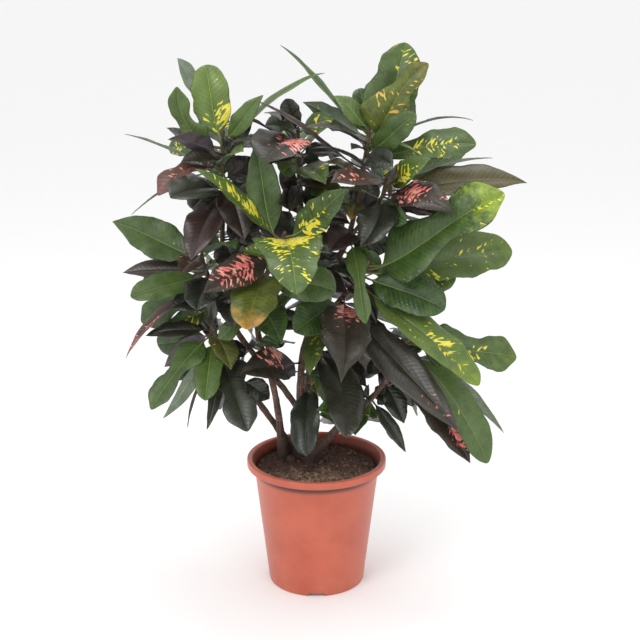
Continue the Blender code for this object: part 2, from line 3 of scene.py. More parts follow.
import json
import math
import random

import bmesh
import bpy
import numpy as np
from mathutils import Matrix, Quaternion, Vector, noise
from mathutils.bvhtree import BVHTree


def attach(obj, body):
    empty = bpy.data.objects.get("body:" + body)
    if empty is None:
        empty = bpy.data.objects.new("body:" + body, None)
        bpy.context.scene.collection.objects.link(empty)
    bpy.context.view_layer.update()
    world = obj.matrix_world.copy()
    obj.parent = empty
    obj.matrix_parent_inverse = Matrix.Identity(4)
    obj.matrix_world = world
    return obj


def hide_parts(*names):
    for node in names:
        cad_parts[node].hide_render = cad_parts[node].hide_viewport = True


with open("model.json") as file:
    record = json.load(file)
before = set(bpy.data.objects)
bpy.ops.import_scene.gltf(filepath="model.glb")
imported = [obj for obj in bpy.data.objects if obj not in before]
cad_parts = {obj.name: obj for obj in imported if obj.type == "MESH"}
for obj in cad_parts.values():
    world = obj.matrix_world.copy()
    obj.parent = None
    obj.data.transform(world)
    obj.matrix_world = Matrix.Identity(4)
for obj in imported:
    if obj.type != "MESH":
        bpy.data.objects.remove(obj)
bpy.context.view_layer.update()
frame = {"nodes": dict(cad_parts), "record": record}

# ---- leaf outlines and extra leaves
# outlines of blades: (place along the blade, share of the full width)
OUTLINES = {
    "oval": [(0.0, 0.08), (0.08, 0.42), (0.20, 0.80), (0.34, 0.98), (0.48, 1.0),
             (0.62, 0.90), (0.75, 0.70), (0.87, 0.40), (0.95, 0.15)],
    "blunt": [(0.0, 0.08), (0.08, 0.46), (0.20, 0.80), (0.36, 0.96), (0.52, 1.0),
              (0.68, 0.97), (0.82, 0.83), (0.92, 0.58), (0.975, 0.28)],
    "lobed": [(0.0, 0.08), (0.09, 0.60), (0.21, 0.98), (0.33, 0.92), (0.46, 0.60),
              (0.58, 0.52), (0.71, 0.76), (0.84, 0.74), (0.94, 0.36)],
    "shield": [(0.0, 0.08), (0.09, 0.60), (0.20, 0.92), (0.32, 1.0), (0.45, 0.92),
               (0.57, 0.80), (0.70, 0.74), (0.83, 0.62), (0.94, 0.34)],
    "narrow": [(0.0, 0.12), (0.12, 0.55), (0.28, 0.90), (0.45, 1.0), (0.62, 0.90),
               (0.78, 0.62), (0.90, 0.30), (0.96, 0.14)],
}
# share of a leaf's length that is leafstalk, half the stalk's width, and the fold at the rib
PETIOLE_SHARE = 0.14
PETIOLE_HALF = 0.0018
FOLD = math.radians(9.0)
# how far the stalk and the blade of a leaf solid reach above and below their middle line
STALK_OVER = 0.0009
STALK_UNDER = 0.0017
BLADE_OVER = 0.0005
BLADE_UNDER = 0.0008

# axes of the shoots that carry extra leaves
SHOOTS = {
    "upper_left": [(-0.155, 0.030, 0.500), (-0.157, 0.022, 0.580), (-0.155, 0.020, 0.650),
                   (-0.153, 0.020, 0.730), (-0.152, 0.020, 0.785)],
    "upper_middle": [(-0.006, 0.038, 0.452), (-0.012, 0.055, 0.520), (-0.022, 0.060, 0.600),
                     (-0.028, 0.055, 0.700), (-0.030, 0.050, 0.785)],
    "centre": [(-0.028, 0.045, 0.345), (-0.022, 0.042, 0.407), (-0.005, 0.038, 0.457),
               (0.030, 0.032, 0.555), (0.055, 0.030, 0.610), (0.077, 0.030, 0.720),
               (0.087, 0.030, 0.790)],
    "upper_right": [(0.050, 0.031, 0.598), (0.085, 0.015, 0.645), (0.108, 0.000, 0.680),
                    (0.115, -0.005, 0.712)],
    "middle_left": [(-0.151, 0.033, 0.485), (-0.172, 0.012, 0.525), (-0.184, -0.008, 0.562),
                    (-0.188, -0.020, 0.595)],
    "front_left": [(-0.078, 0.036, 0.355), (-0.098, 0.024, 0.430), (-0.100, 0.000, 0.500),
                   (-0.075, -0.030, 0.570), (-0.050, -0.050, 0.630)],
    "low_left": [(-0.115, 0.048, 0.325), (-0.145, 0.025, 0.375), (-0.168, 0.005, 0.420),
                 (-0.176, -0.010, 0.460)],
    "right": [(-0.016, 0.072, 0.310), (-0.010, 0.064, 0.375), (0.008, 0.055, 0.437),
              (0.040, 0.018, 0.500), (0.070, -0.010, 0.540), (0.085, -0.020, 0.575)],
    "low_right": [(0.035, 0.000, 0.274), (0.060, -0.010, 0.305), (0.100, -0.030, 0.350),
                  (0.130, -0.045, 0.400), (0.148, -0.050, 0.450)],
}

# facings of the upper side that many leaves share
STEEP = (0.0, -0.9, 0.4)
TILTED = (0.0, -0.85, 0.5)
SLOPING = (0.0, -0.8, 0.6)

# shoot, height of the node, tip, width, arch, facing of the upper side, outline, colouring
EXTRA_LEAVES = [
    ("upper_left", 0.762, (-0.23, 0.09, 0.895), 0.042, 0.01, (0.3, 0.9, 0.3), "lobed", "green"),
    ("upper_left", 0.718, (-0.305, 0.01, 0.647), 0.016, 0.01, (-0.6, 0.2, 0.75), "narrow", "green"),
    ("upper_left", 0.742, (-0.245, 0.035, 0.787), 0.03, 0.004, (0.0, -0.6, 0.8), "oval", "dark"),
    ("upper_middle", 0.778, (0.032, -0.02, 0.802), 0.042, 0.006,
     (0.0, -0.7, 0.7), "oval", "blotched_yellow"),
    ("upper_middle", 0.782, (-0.05, 0.03, 0.834), 0.034, 0.004, STEEP, "blunt", "dark"),
    ("upper_middle", 0.72, (0.015, -0.09, 0.715), 0.055, 0.01,
     (0.0, -0.7, 0.7), "oval", "blotched_yellow"),
    ("upper_middle", 0.745, (-0.13, -0.05, 0.775), 0.052, 0.01, (0.0, -0.6, 0.8), "oval", "dark"),
    ("centre", 0.772, (-0.023, 0.06, 0.826), 0.038, 0.006, (0.2, 0.9, 0.4), "oval", "green"),
    ("centre", 0.752, (0.055, -0.06, 0.765), 0.026, 0.004, (0.0, -0.7, 0.7), "oval", "dark"),
    ("centre", 0.765, (0.165, -0.02, 0.752), 0.012, 0.01, (0.5, -0.5, 0.7), "narrow", "green"),
    ("centre", 0.748, (0.158, -0.01, 0.816), 0.044, 0.008, (0.1, -0.9, 0.4), "blunt", "green"),
    ("centre", 0.742, (0.118, -0.06, 0.742), 0.042, 0.006, (0.0, -0.8, 0.5), "blunt", "dark"),
    ("upper_right", 0.706, (0.29, 0.03, 0.738), 0.032, 0.008, (0.0, 0.05, 1.0), "narrow", "green"),
    ("upper_right", 0.709, (0.022, -0.13, 0.724), 0.056, 0.006,
     (0.0, -0.62, 0.78), "oval", "blotched_pink"),
    ("upper_right", 0.68, (0.2, -0.05, 0.655), 0.045, 0.006, SLOPING, "oval", "dark"),
    ("right", 0.556, (0.232, -0.02, 0.542), 0.068, 0.01, (-0.1, -0.8, 0.55), "blunt", "blotched_yellow"),
    ("low_right", 0.432, (0.32, -0.02, 0.275), 0.032, 0.012, (0.2, 0.7, 0.6), "narrow", "green"),
    ("right", 0.562, (0.27, 0.025, 0.548), 0.034, 0.006, (0.0, -0.2, 1.0), "oval", "olive"),
    ("upper_left", 0.702, (-0.115, -0.07, 0.617), 0.062, 0.008, (-0.2, -0.9, 0.35), "oval", "dark"),
    ("front_left", 0.585, (-0.122, -0.09, 0.598), 0.032, 0.004, SLOPING, "oval", "blotched_yellow"),
    ("middle_left", 0.548, (-0.19, -0.1, 0.515), 0.058, 0.01, TILTED, "blunt", "dark"),
    ("middle_left", 0.588, (-0.215, -0.11, 0.575), 0.04, 0.008,
     (0.1, -0.7, 0.7), "oval", "blotched_pink"),
    ("upper_left", 0.535, (-0.3, 0.04, 0.455), 0.066, 0.01, SLOPING, "lobed", "green"),
    ("low_left", 0.456, (-0.285, -0.02, 0.448), 0.038, 0.008, (0.0, -0.5, 0.85), "oval", "dark"),
    ("low_left", 0.45, (-0.255, -0.06, 0.395), 0.036, 0.006, (0.3, 0.9, 0.2), "oval", "dark"),
    ("low_left", 0.425, (-0.26, -0.03, 0.305), 0.028, 0.012, (0.6, 0.6, 0.4), "narrow", "green"),
    ("low_left", 0.41, (-0.215, -0.06, 0.3), 0.012, 0.01, (-0.6, -0.3, 0.6), "narrow", "dark"),
    ("low_left", 0.4, (-0.182, -0.07, 0.3), 0.024, 0.006, (0.4, -0.8, 0.4), "narrow", "dark"),
    ("front_left", 0.43, (-0.06, -0.06, 0.44), 0.038, 0.008, SLOPING, "oval", "green"),
    ("front_left", 0.4, (-0.112, -0.09, 0.44), 0.032, 0.006, TILTED, "oval", "blotched_pink"),
    ("centre", 0.362, (0.022, -0.06, 0.372), 0.044, 0.008, SLOPING, "oval", "green"),
    ("right", 0.335, (-0.016, -0.045, 0.243), 0.056, 0.01, (-0.35, -0.85, 0.3), "blunt", "dark"),
    ("low_right", 0.335, (0.075, -0.11, 0.36), 0.042, 0.008, SLOPING, "oval", "dark"),
    ("low_right", 0.34, (0.15, -0.06, 0.256), 0.026, 0.004, (0.3, -0.8, 0.4), "narrow", "dark"),
    ("low_right", 0.32, (0.064, -0.09, 0.298), 0.042, 0.006, (-0.2, -0.8, 0.5), "oval", "green"),
    ("low_right", 0.372, (0.145, -0.08, 0.315), 0.038, 0.006, SLOPING, "oval", "dark"),
    ("centre", 0.62, (0.02, -0.06, 0.6), 0.052, 0.008, STEEP, "oval", "dark"),
    ("right", 0.48, (-0.005, -0.09, 0.47), 0.062, 0.008, STEEP, "oval", "dark"),
    ("front_left", 0.51, (-0.055, -0.11, 0.462), 0.06, 0.01, (0.1, -0.9, 0.4), "oval", "green"),
    ("low_left", 0.452, (-0.14, -0.07, 0.405), 0.05, 0.008, (0.1, -0.85, 0.5), "oval", "olive"),
    ("upper_left", 0.56, (-0.135, -0.06, 0.47), 0.05, 0.008, STEEP, "oval", "dark"),
    ("upper_middle", 0.65, (-0.06, -0.06, 0.68), 0.055, 0.008, SLOPING, "oval", "dark"),
    ("upper_middle", 0.69, (0.05, -0.04, 0.65), 0.055, 0.008, STEEP, "oval", "dark"),
]

# The same, but the tip is given by where it shows on the plane y = 0, then by its depth y.
SEEN_LEAVES = [
    ("upper_left", 0.74, (-0.09, 0.826), 0.03, 0.036, 0.006, (0.0, -0.8, 0.5), "oval", "dark"),
    ("upper_left", 0.752, (-0.132, 0.772), -0.01, 0.03, 0.004, STEEP, "oval", "dark"),
    ("upper_middle", 0.742, (-0.075, 0.735), -0.05, 0.05, 0.008, TILTED, "oval", "dark"),
    ("upper_middle", 0.722, (-0.058, 0.705), -0.04, 0.045, 0.008, TILTED, "blunt", "green"),
    ("upper_middle", 0.705, (0.022, 0.692), -0.06, 0.052, 0.008, SLOPING, "oval", "dark"),
    ("upper_middle", 0.69, (-0.044, 0.662), -0.02, 0.026, 0.008, (0.0, -0.9, 0.3), "oval", "dark"),
    ("upper_left", 0.68, (-0.213, 0.618), -0.04, 0.028, 0.006, (-0.3, -0.9, 0.2), "oval", "dark"),
    ("front_left", 0.53, (-0.165, 0.503), -0.05, 0.045, 0.006, SLOPING, "oval", "dark"),
    ("front_left", 0.56, (0.032, 0.52), -0.07, 0.068, 0.008, (0.0, -0.88, 0.45), "blunt", "green"),
    ("right", 0.5, (-0.036, 0.464), -0.05, 0.062, 0.008, STEEP, "blunt", "green"),
    ("centre", 0.57, (0.062, 0.54), -0.04, 0.05, 0.008, STEEP, "oval", "dark"),
    ("front_left", 0.58, (-0.008, 0.533), -0.12, 0.03, 0.004, SLOPING, "oval", "blotched_yellow"),
    ("upper_right", 0.7, (-0.012, 0.757), -0.02, 0.028, 0.02, (0.3, -0.3, 0.85), "oval", "dark"),
    ("upper_middle", 0.7, (0.053, 0.668), -0.03, 0.042, 0.006, TILTED, "oval", "blotched_yellow"),
    ("centre", 0.665, (0.056, 0.64), -0.03, 0.036, 0.006, TILTED, "oval", "olive"),
    ("upper_middle", 0.625, (0.056, 0.636), -0.02, 0.04, 0.006, TILTED, "oval", "dark"),
    ("centre", 0.6, (0.128, 0.6), 0.0, 0.05, 0.006, TILTED, "oval", "dark"),
    ("centre", 0.582, (0.108, 0.56), -0.01, 0.042, 0.006, STEEP, "blunt", "green"),
    ("low_right", 0.425, (0.105, 0.398), -0.01, 0.05, 0.006, TILTED, "oval", "dark"),
    ("low_right", 0.405, (0.088, 0.372), -0.02, 0.046, 0.006, TILTED, "oval", "dark"),
    ("low_right", 0.385, (0.152, 0.348), 0.01, 0.046, 0.006, TILTED, "oval", "olive"),
    ("low_right", 0.35, (0.128, 0.332), -0.04, 0.036, 0.006, TILTED, "oval", "dark"),
    ("upper_middle", 0.61, (-0.1, 0.64), -0.01, 0.056, 0.006, STEEP, "blunt", "dark"),
    ("upper_middle", 0.6, (0.02, 0.575), 0.0, 0.056, 0.006, STEEP, "blunt", "dark"),
    ("upper_left", 0.6, (-0.13, 0.56), -0.03, 0.056, 0.006, STEEP, "blunt", "dark"),
    ("upper_left", 0.64, (-0.09, 0.6), -0.02, 0.05, 0.006, STEEP, "oval", "dark"),
    ("right", 0.54, (0.18, 0.47), 0.01, 0.06, 0.006, SLOPING, "blunt", "dark"),
    ("right", 0.47, (0.13, 0.43), 0.0, 0.056, 0.006, TILTED, "oval", "dark"),
    ("right", 0.45, (0.09, 0.455), 0.02, 0.05, 0.006, TILTED, "oval", "dark"),
    ("middle_left", 0.56, (-0.27, 0.585), 0.03, 0.056, 0.006, TILTED, "oval", "dark"),
    ("middle_left", 0.52, (-0.24, 0.5), 0.0, 0.05, 0.006, TILTED, "oval", "dark"),
    ("low_left", 0.4, (-0.14, 0.35), -0.05, 0.05, 0.006, STEEP, "oval", "dark"),
    ("low_left", 0.38, (-0.125, 0.385), 0.0, 0.044, 0.006, STEEP, "oval", "dark"),
    ("upper_left", 0.77, (-0.082, 0.848), 0.04, 0.034, 0.01, (0.2, -0.7, 0.65), "narrow", "green"),
    ("centre", 0.785, (0.028, 0.842), 0.03, 0.04, 0.008, SLOPING, "oval", "green"),
    ("centre", 0.78, (0.07, 0.852), 0.05, 0.036, 0.006, (0.1, -0.9, 0.3), "blunt", "green"),
    ("upper_left", 0.705, (-0.096, 0.74), 0.02, 0.046, 0.006, STEEP, "oval", "dark"),
    ("centre", 0.64, (0.09, 0.705), 0.01, 0.046, 0.006, (0.2, -0.9, 0.4), "blunt", "dark"),
    ("low_left", 0.35, (-0.08, 0.33), 0.04, 0.04, 0.006, STEEP, "oval", "dark"),
    ("low_left", 0.4, (-0.118, 0.42), 0.03, 0.044, 0.006, STEEP, "oval", "dark"),
    ("low_right", 0.42, (0.165, 0.315), -0.03, 0.048, 0.008, (-0.3, -0.8, 0.5), "oval", "dark"),
    ("low_right", 0.34, (0.118, 0.335), 0.02, 0.036, 0.006, TILTED, "oval", "dark"),
    ("upper_left", 0.735, (-0.215, 0.742), -0.01, 0.036, 0.006, SLOPING, "oval", "dark"),
    ("upper_middle", 0.7, (-0.06, 0.7), 0.03, 0.05, 0.006, STEEP, "blunt", "dark"),
    ("low_left", 0.445, (-0.27, 0.425), 0.01, 0.046, 0.008, TILTED, "blunt", "green"),
    ("low_left", 0.39, (-0.205, 0.335), -0.05, 0.022, 0.01, (0.5, -0.8, 0.2), "oval", "olive"),
    ("upper_left", 0.54, (-0.15, 0.48), 0.04, 0.05, 0.006, STEEP, "blunt", "dark"),
]


# ---- small helpers
def unit(vector):
    return vector / max(np.linalg.norm(vector), 1e-12)


def catmull(points, parameters, before, after):
    """Catmull-Rom curve through points at whole parameters."""
    row = np.vstack([before, points, after])
    t = np.clip(np.asarray(parameters, float), 0.0, len(points) - 1.0)
    first = np.minimum(t.astype(int), len(points) - 2)
    s = (t - first)[:, None]
    p0 = row[first]
    p1 = row[first + 1]
    p2 = row[first + 2]
    p3 = row[first + 3]
    return 0.5 * (2 * p1 + (p2 - p0) * s + (2 * p0 - 5 * p1 + 4 * p2 - p3) * s ** 2
                  + (3 * p1 - p0 - 3 * p2 + p3) * s ** 3)


def new_piece(name, verts, faces, material, smooth=True):
    mesh = bpy.data.meshes.new(name)
    mesh.from_pydata([tuple(map(float, v)) for v in verts], [], faces)
    mesh.validate()
    obj = bpy.data.objects.new(name, mesh)
    bpy.context.scene.collection.objects.link(obj)
    mesh.polygons.foreach_set("use_smooth", [smooth] * len(mesh.polygons))
    if material:
        mesh.materials.append(material)
    return obj


def add_layer(obj, label, values):
    layer = obj.data.attributes.new(label, "FLOAT_VECTOR", "POINT")
    layer.data.foreach_set("vector", np.array(values, np.float32).ravel())


def finish_piece(obj, slot, *nodes):
    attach(obj, "root")
    if nodes:
        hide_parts(*nodes)


# ---- reading leaf solids
def rings_of(mesh):
    """The four-corner rings of a CAD leaf, base first, and its tip."""
    index = {}
    points = []
    order = []
    for vertex in mesh.vertices:
        key = tuple(round(c, 6) for c in vertex.co)
        if key not in index:
            index[key] = len(points)
            points.append(np.array(vertex.co))
        order.append(index[key])
    links = [set() for _ in points]
    for polygon in mesh.polygons:
        corners = [order[i] for i in polygon.vertices]
        for one, two in zip(corners, corners[1:] + corners[:1]):
            if one != two:
                links[one].add(two)
                links[two].add(one)
    for start in range(len(points)):
        if len(links[start]) != 4:
            continue
        seen = {start}
        levels = []
        edge = {start}
        while edge:
            edge = set().union(*(links[i] for i in edge)) - seen
            seen |= edge
            if edge:
                levels.append(sorted(edge))
        if all(len(level) == 4 for level in levels) and len(levels) > 6:
            rings = [[points[i] for i in level] for level in reversed(levels)]
            return rings, points[start]
    raise ValueError("no rings in " + mesh.name)


def ordered_rings(mesh):
    """Left, top, right and bottom corners of every ring, as arrays, and the tip."""
    rings, tip = rings_of(mesh)
    ordered = []
    for number, ring in enumerate(rings):
        pairs = [(i, j) for i in range(4) for j in range(i + 1, 4)]
        wide = max(pairs, key=lambda pair: np.linalg.norm(ring[pair[0]] - ring[pair[1]]))
        rest = [i for i in range(4) if i not in wide]
        left, right = ring[wide[0]], ring[wide[1]]
        top, bottom = ring[rest[0]], ring[rest[1]]
        if number == 0:
            middle = (left + right) / 2
            if np.linalg.norm(top - middle) > np.linalg.norm(bottom - middle):
                top, bottom = bottom, top
            along = sum(rings[1]) / 4 - sum(ring) / 4
            across = np.cross(along, top - bottom)
        else:
            if np.dot(top - bottom, ordered[-1][1] - ordered[-1][3]) < 0:
                top, bottom = bottom, top
            across = ordered[-1][2] - ordered[-1][0]
        if np.dot(right - left, across) < 0:
            left, right = right, left
        ordered.append((left, top, right, bottom))
    return np.array(ordered), tip


# ---- growing extra leaves
def node_on(shoot, height):
    path = SHOOTS[shoot]
    for low, high in zip(path, path[1:]):
        if low[2] <= height <= high[2]:
            share = (height - low[2]) / (high[2] - low[2])
            low = np.array(low)
            high = np.array(high)
            return low + (high - low) * share, unit(high - low)
    return np.array(path[-1]), unit(np.array(path[-1]) - np.array(path[-2]))


def grow_rings(node, stem_dir, tip, width, arch, facing, form, lean, swivel):
    """Rings like those of the CAD leaves, starting on the axis of the shoot."""
    tip = np.array(tip) + np.array((0.0, lean, 0.0))
    chord = tip - node
    radial = unit(chord - stem_dir * np.dot(chord, stem_dir))
    start = node + radial * 0.0015
    chord = tip - start
    length = np.linalg.norm(chord)
    face = np.array(facing)
    lift = Vector(unit(face - chord * np.dot(face, chord) / length ** 2))
    lift.rotate(Quaternion(Vector(chord).normalized(), math.radians(swivel)))
    lift = np.array(lift)
    control_1 = start + radial * length * 0.16 + chord * 0.15 + lift * arch * 0.8
    control_2 = tip - chord * 0.34 + lift * arch * 1.7
    outline = OUTLINES[form]
    shares = [0.0, 0.07, PETIOLE_SHARE]
    shares += [PETIOLE_SHARE + u * (1.0 - PETIOLE_SHARE) for u, w in outline[1:]]
    shares.append(1.0)

    def on_curve(t):
        s = 1.0 - t
        return (start * s ** 3 + control_1 * 3 * s * s * t + control_2 * 3 * s * t * t
                + tip * t ** 3)

    centres = [on_curve(t) for t in shares]
    tangents = [unit(on_curve(min(t + 0.02, 1.0)) - on_curve(max(t - 0.02, 0.0)))
                for t in shares]
    middle = len(shares) // 2
    normals = [None] * len(shares)
    normals[middle] = unit(lift - tangents[middle] * np.dot(lift, tangents[middle]))
    for steps in (range(middle + 1, len(shares)), range(middle - 1, -1, -1)):
        normal = normals[middle]
        for i in steps:
            normal = unit(normal - tangents[i] * np.dot(normal, tangents[i]))
            normals[i] = normal
    rings = []
    for i in range(len(shares) - 1):
        half = PETIOLE_HALF
        rise = 0.0
        above = STALK_OVER
        below = STALK_UNDER
        if i >= 2:
            half = max(outline[i - 2][1] * width / 2, PETIOLE_HALF)
            rise = half * math.sin(FOLD)
            half *= math.cos(FOLD)
            above = BLADE_OVER
            below = BLADE_UNDER
        across = np.cross(tangents[i], normals[i])
        up = normals[i]
        rings.append((centres[i] - across * half + up * rise, centres[i] + up * above,
                      centres[i] + across * half + up * rise, centres[i] - up * below))
    return np.array(rings), tip


def ring_tree(rings, tip, swell):
    """A closed shell round the rings, swell thicker on each side, for contact tests."""
    verts = []
    for left, top, right, bottom in rings:
        up = unit(top - bottom) * swell
        out = unit(right - left) * swell
        verts += [left - out, top + up, right + out, bottom - up]
    verts.append(tip)
    faces = [(0, 1, 2), (0, 2, 3)]
    count = len(rings)
    for i in range(count):
        for j in range(4):
            a = i * 4 + j
            b = i * 4 + (j + 1) % 4
            if i == count - 1:
                faces.append((a, b, count * 4))
            else:
                faces += [(a, b, b + 4), (a, b + 4, a + 4)]
    verts = [tuple(map(float, v)) for v in verts]
    array = np.array(verts)
    return BVHTree.FromPolygons(verts, faces), array.min(0), array.max(0)


def meets(shell, others):
    tree, low, high = shell
    for other, other_low, other_high in others:
        if np.all(low <= other_high) and np.all(other_low <= high) and tree.overlap(other):
            return True
    return False


# ---- leaf surface
# places across half a blade, and rows between two rings
COLUMNS = [0.0, 0.03, 0.075, 0.16, 0.28, 0.42, 0.56, 0.70, 0.83, 0.93, 1.0]
ACROSS = [-v for v in reversed(COLUMNS[1:])] + COLUMNS
PER_RING = 5
# metres between side veins, their slant, and how far the blade bulges between them
VEIN_SPACING = 0.0085
VEIN_LEAN = 0.72
QUILTING = 0.0012
HALF_THICKNESS = 0.00034
# groove over the middle rib, and the rib below it, which gets thinner towards the tip
GROOVE_DEPTH = 0.00035
GROOVE_WIDTH = 0.0016
RIB_DEPTH = 0.0011
RIB_TAPER = 0.0007
# how far the foot of a leafstalk reaches into the bark
FOOT_DEPTH = 0.0025


def leaf_surface(rings, tip, traits):
    """A veined, quilted leaf of one closed surface over the rings of a leaf solid."""
    seed, blotch, tone, zone, glow = traits
    rng = random.Random(int(seed * 1000))
    left, top, right, bottom = (rings[:, k] for k in range(4))
    middle = top + (bottom - top) * 0.38
    last = len(rings)
    normals = np.array([unit(v) for v in top - bottom])
    blunt = (np.linalg.norm(left[-1] - right[-1]) / 2
             > 0.9 * np.linalg.norm(tip - middle[-1]))
    parameters = list(np.linspace(0.0, 2.0, 7)[:-1])
    for ring in range(2, last - 1):
        parameters += list(np.linspace(ring, ring + 1, PER_RING + 1)[:-1])
    ease = np.linspace(0.0, 1.0, 9)[:-1]
    parameters += list(last - 1 + np.sin(ease * math.pi / 2))
    parameters = np.array(parameters)
    tip = np.asarray(tip)

    def curve(line, beyond):
        line = np.vstack([line, tip])
        return catmull(line, parameters, 2 * line[0] - line[1], beyond)

    mid = curve(middle, 2 * tip - middle[-1])
    edge_left = curve(left, right[-1] if blunt else 2 * tip - left[-1])
    edge_right = curve(right, left[-1] if blunt else 2 * tip - right[-1])
    up = catmull(np.vstack([normals, normals[-1]]), parameters, normals[0], normals[-1])
    along = np.gradient(mid, axis=0)
    along /= np.linalg.norm(along, axis=1)[:, None]
    up -= along * np.sum(up * along, axis=1)[:, None]
    up /= np.linalg.norm(up, axis=1)[:, None]
    steps = np.linalg.norm(np.diff(mid, axis=0), axis=1)
    distance = np.concatenate([[0.0], np.cumsum(steps)])
    start = np.interp(2.0, parameters, distance)
    blade = max(distance[-1] - start, 0.01)
    stalk = np.clip((3.0 - parameters) / 1.6, 0.0, 1.0)
    stalk = stalk * stalk * (3 - 2 * stalk)

    crown = rng.uniform(0.05, 0.11)
    waves = [(rng.uniform(1.6, 3.2), rng.uniform(0, 6.28), rng.uniform(0.04, 0.10))
             for _ in range(2)]
    scallops = [(rng.uniform(2.2, 4.2), rng.uniform(0, 6.28), rng.uniform(0.02, 0.06))
                for _ in range(2)]
    tips_curl = rng.uniform(-0.02, 0.05)
    verts = []
    position = []
    place = []
    rows = len(parameters)
    for i in range(rows):
        share = (distance[i] - start) / blade
        u = min(max(share, 0.0), 1.0)
        halves = (np.linalg.norm(edge_left[i] - mid[i]), np.linalg.norm(edge_right[i] - mid[i]))
        line = []
        for v in ACROSS:
            side = int(v >= 0)
            a = abs(v)
            flat = 1.0 - stalk[i]
            rate, phase, height = scallops[side]
            scallop = height * math.sin(phase + u * rate * 6.28) * min(1, 5 * u, 5 - 5 * u)
            scallop += 0.3 * height * math.sin(2 * phase + u * rate * 17.0)
            wide = 1.0 + scallop * flat
            half = halves[side] * wide
            edge = (edge_left, edge_right)[side][i]
            rib = mid[i] + a * wide * (edge - mid[i])
            x = a * half
            rate, phase, height = waves[side]
            lift = crown * half * 4 * a * (1 - a) * 0.9
            lift += half * height * a ** 1.7 * math.sin(phase + u * rate * 6.28) * min(1, 4 * u)
            lift += half * tips_curl * a * a
            vein = (distance[i] - start - x * VEIN_LEAN) / VEIN_SPACING + 0.5 * side
            gap = abs(vein - round(vein)) * 2
            room = min(1.0, x / 0.004) * min(1.0, (half - x) / 0.003) * min(1.0, 8 * u)
            lift += QUILTING * (gap ** 0.6 - 0.6) * room
            groove = math.exp(-(x / GROOVE_WIDTH) ** 2)
            rounding = math.sqrt(max(0.0, 1 - v * v))
            rim = max(0.0, 1 - a ** 6)
            rim *= HALF_THICKNESS
            rounding *= stalk[i]
            over = (rim - GROOVE_DEPTH * groove) * flat + STALK_OVER * rounding
            under = (rim + (RIB_DEPTH - RIB_TAPER * u) * groove) * flat + STALK_UNDER * rounding
            line.append((rib + up[i] * lift * flat, over, under, v * half, v))
        swell = 1.0 + 0.35 * max(0.0, 1.0 - distance[i] / 0.006)
        upper = [(rib + up[i] * over, x, v, 1.0 if abs(v) < 1 else 0.0)
                 for rib, over, under, x, v in line]
        lower = [(rib - up[i] * under, x, v, -1.0)
                 for rib, over, under, x, v in reversed(line[1:-1])]
        for point, x, v, side in upper + lower:
            verts.append(mid[i] + (point - mid[i]) * swell)
            position.append((x * 100, (distance[i] - start) * 100, side))
            place.append((v, share, 0.0))
    loop = 2 * len(ACROSS) - 2
    for j in range(loop):
        verts[j] = verts[j] - along[0] * FOOT_DEPTH
    verts.append(tip)
    position.append((0.0, blade * 100, 0.0))
    place.append((0.0, 1.0, 0.0))
    faces = [tuple(reversed(range(loop)))]
    for i in range(rows - 1):
        for j in range(loop):
            a = i * loop + j
            b = i * loop + (j + 1) % loop
            faces.append((a, b, b + loop, a + loop))
    for j in range(loop):
        faces.append(((rows - 1) * loop + j, (rows - 1) * loop + (j + 1) % loop, rows * loop))
    count = len(verts)
    layers = [position, place, [(seed, blotch, tone)] * count, [zone] * count,
              [(glow, 0.0, 0.0)] * count]
    return verts, faces, layers


# ---- shader helpers
def rgb(red, green, blue):
    """Linear colour from 0-255 display values."""
    line = []
    for value in (red, green, blue):
        c = value / 255.0
        line.append(c / 12.92 if c <= 0.04045 else ((c + 0.055) / 1.055) ** 2.4)
    return (*line, 1.0)


class Value:
    """What a node gives: arithmetic on it adds Math nodes."""

    def __init__(self, graph, socket):
        self.graph = graph
        self.socket = socket

    def __add__(self, other):
        return self.graph.math("ADD", self, other)

    def __sub__(self, other):
        return self.graph.math("SUBTRACT", self, other)

    def __mul__(self, other):
        return self.graph.math("MULTIPLY", self, other)

    def __truediv__(self, other):
        return self.graph.math("DIVIDE", self, other)

    def __abs__(self):
        return self.graph.math("ABSOLUTE", self)


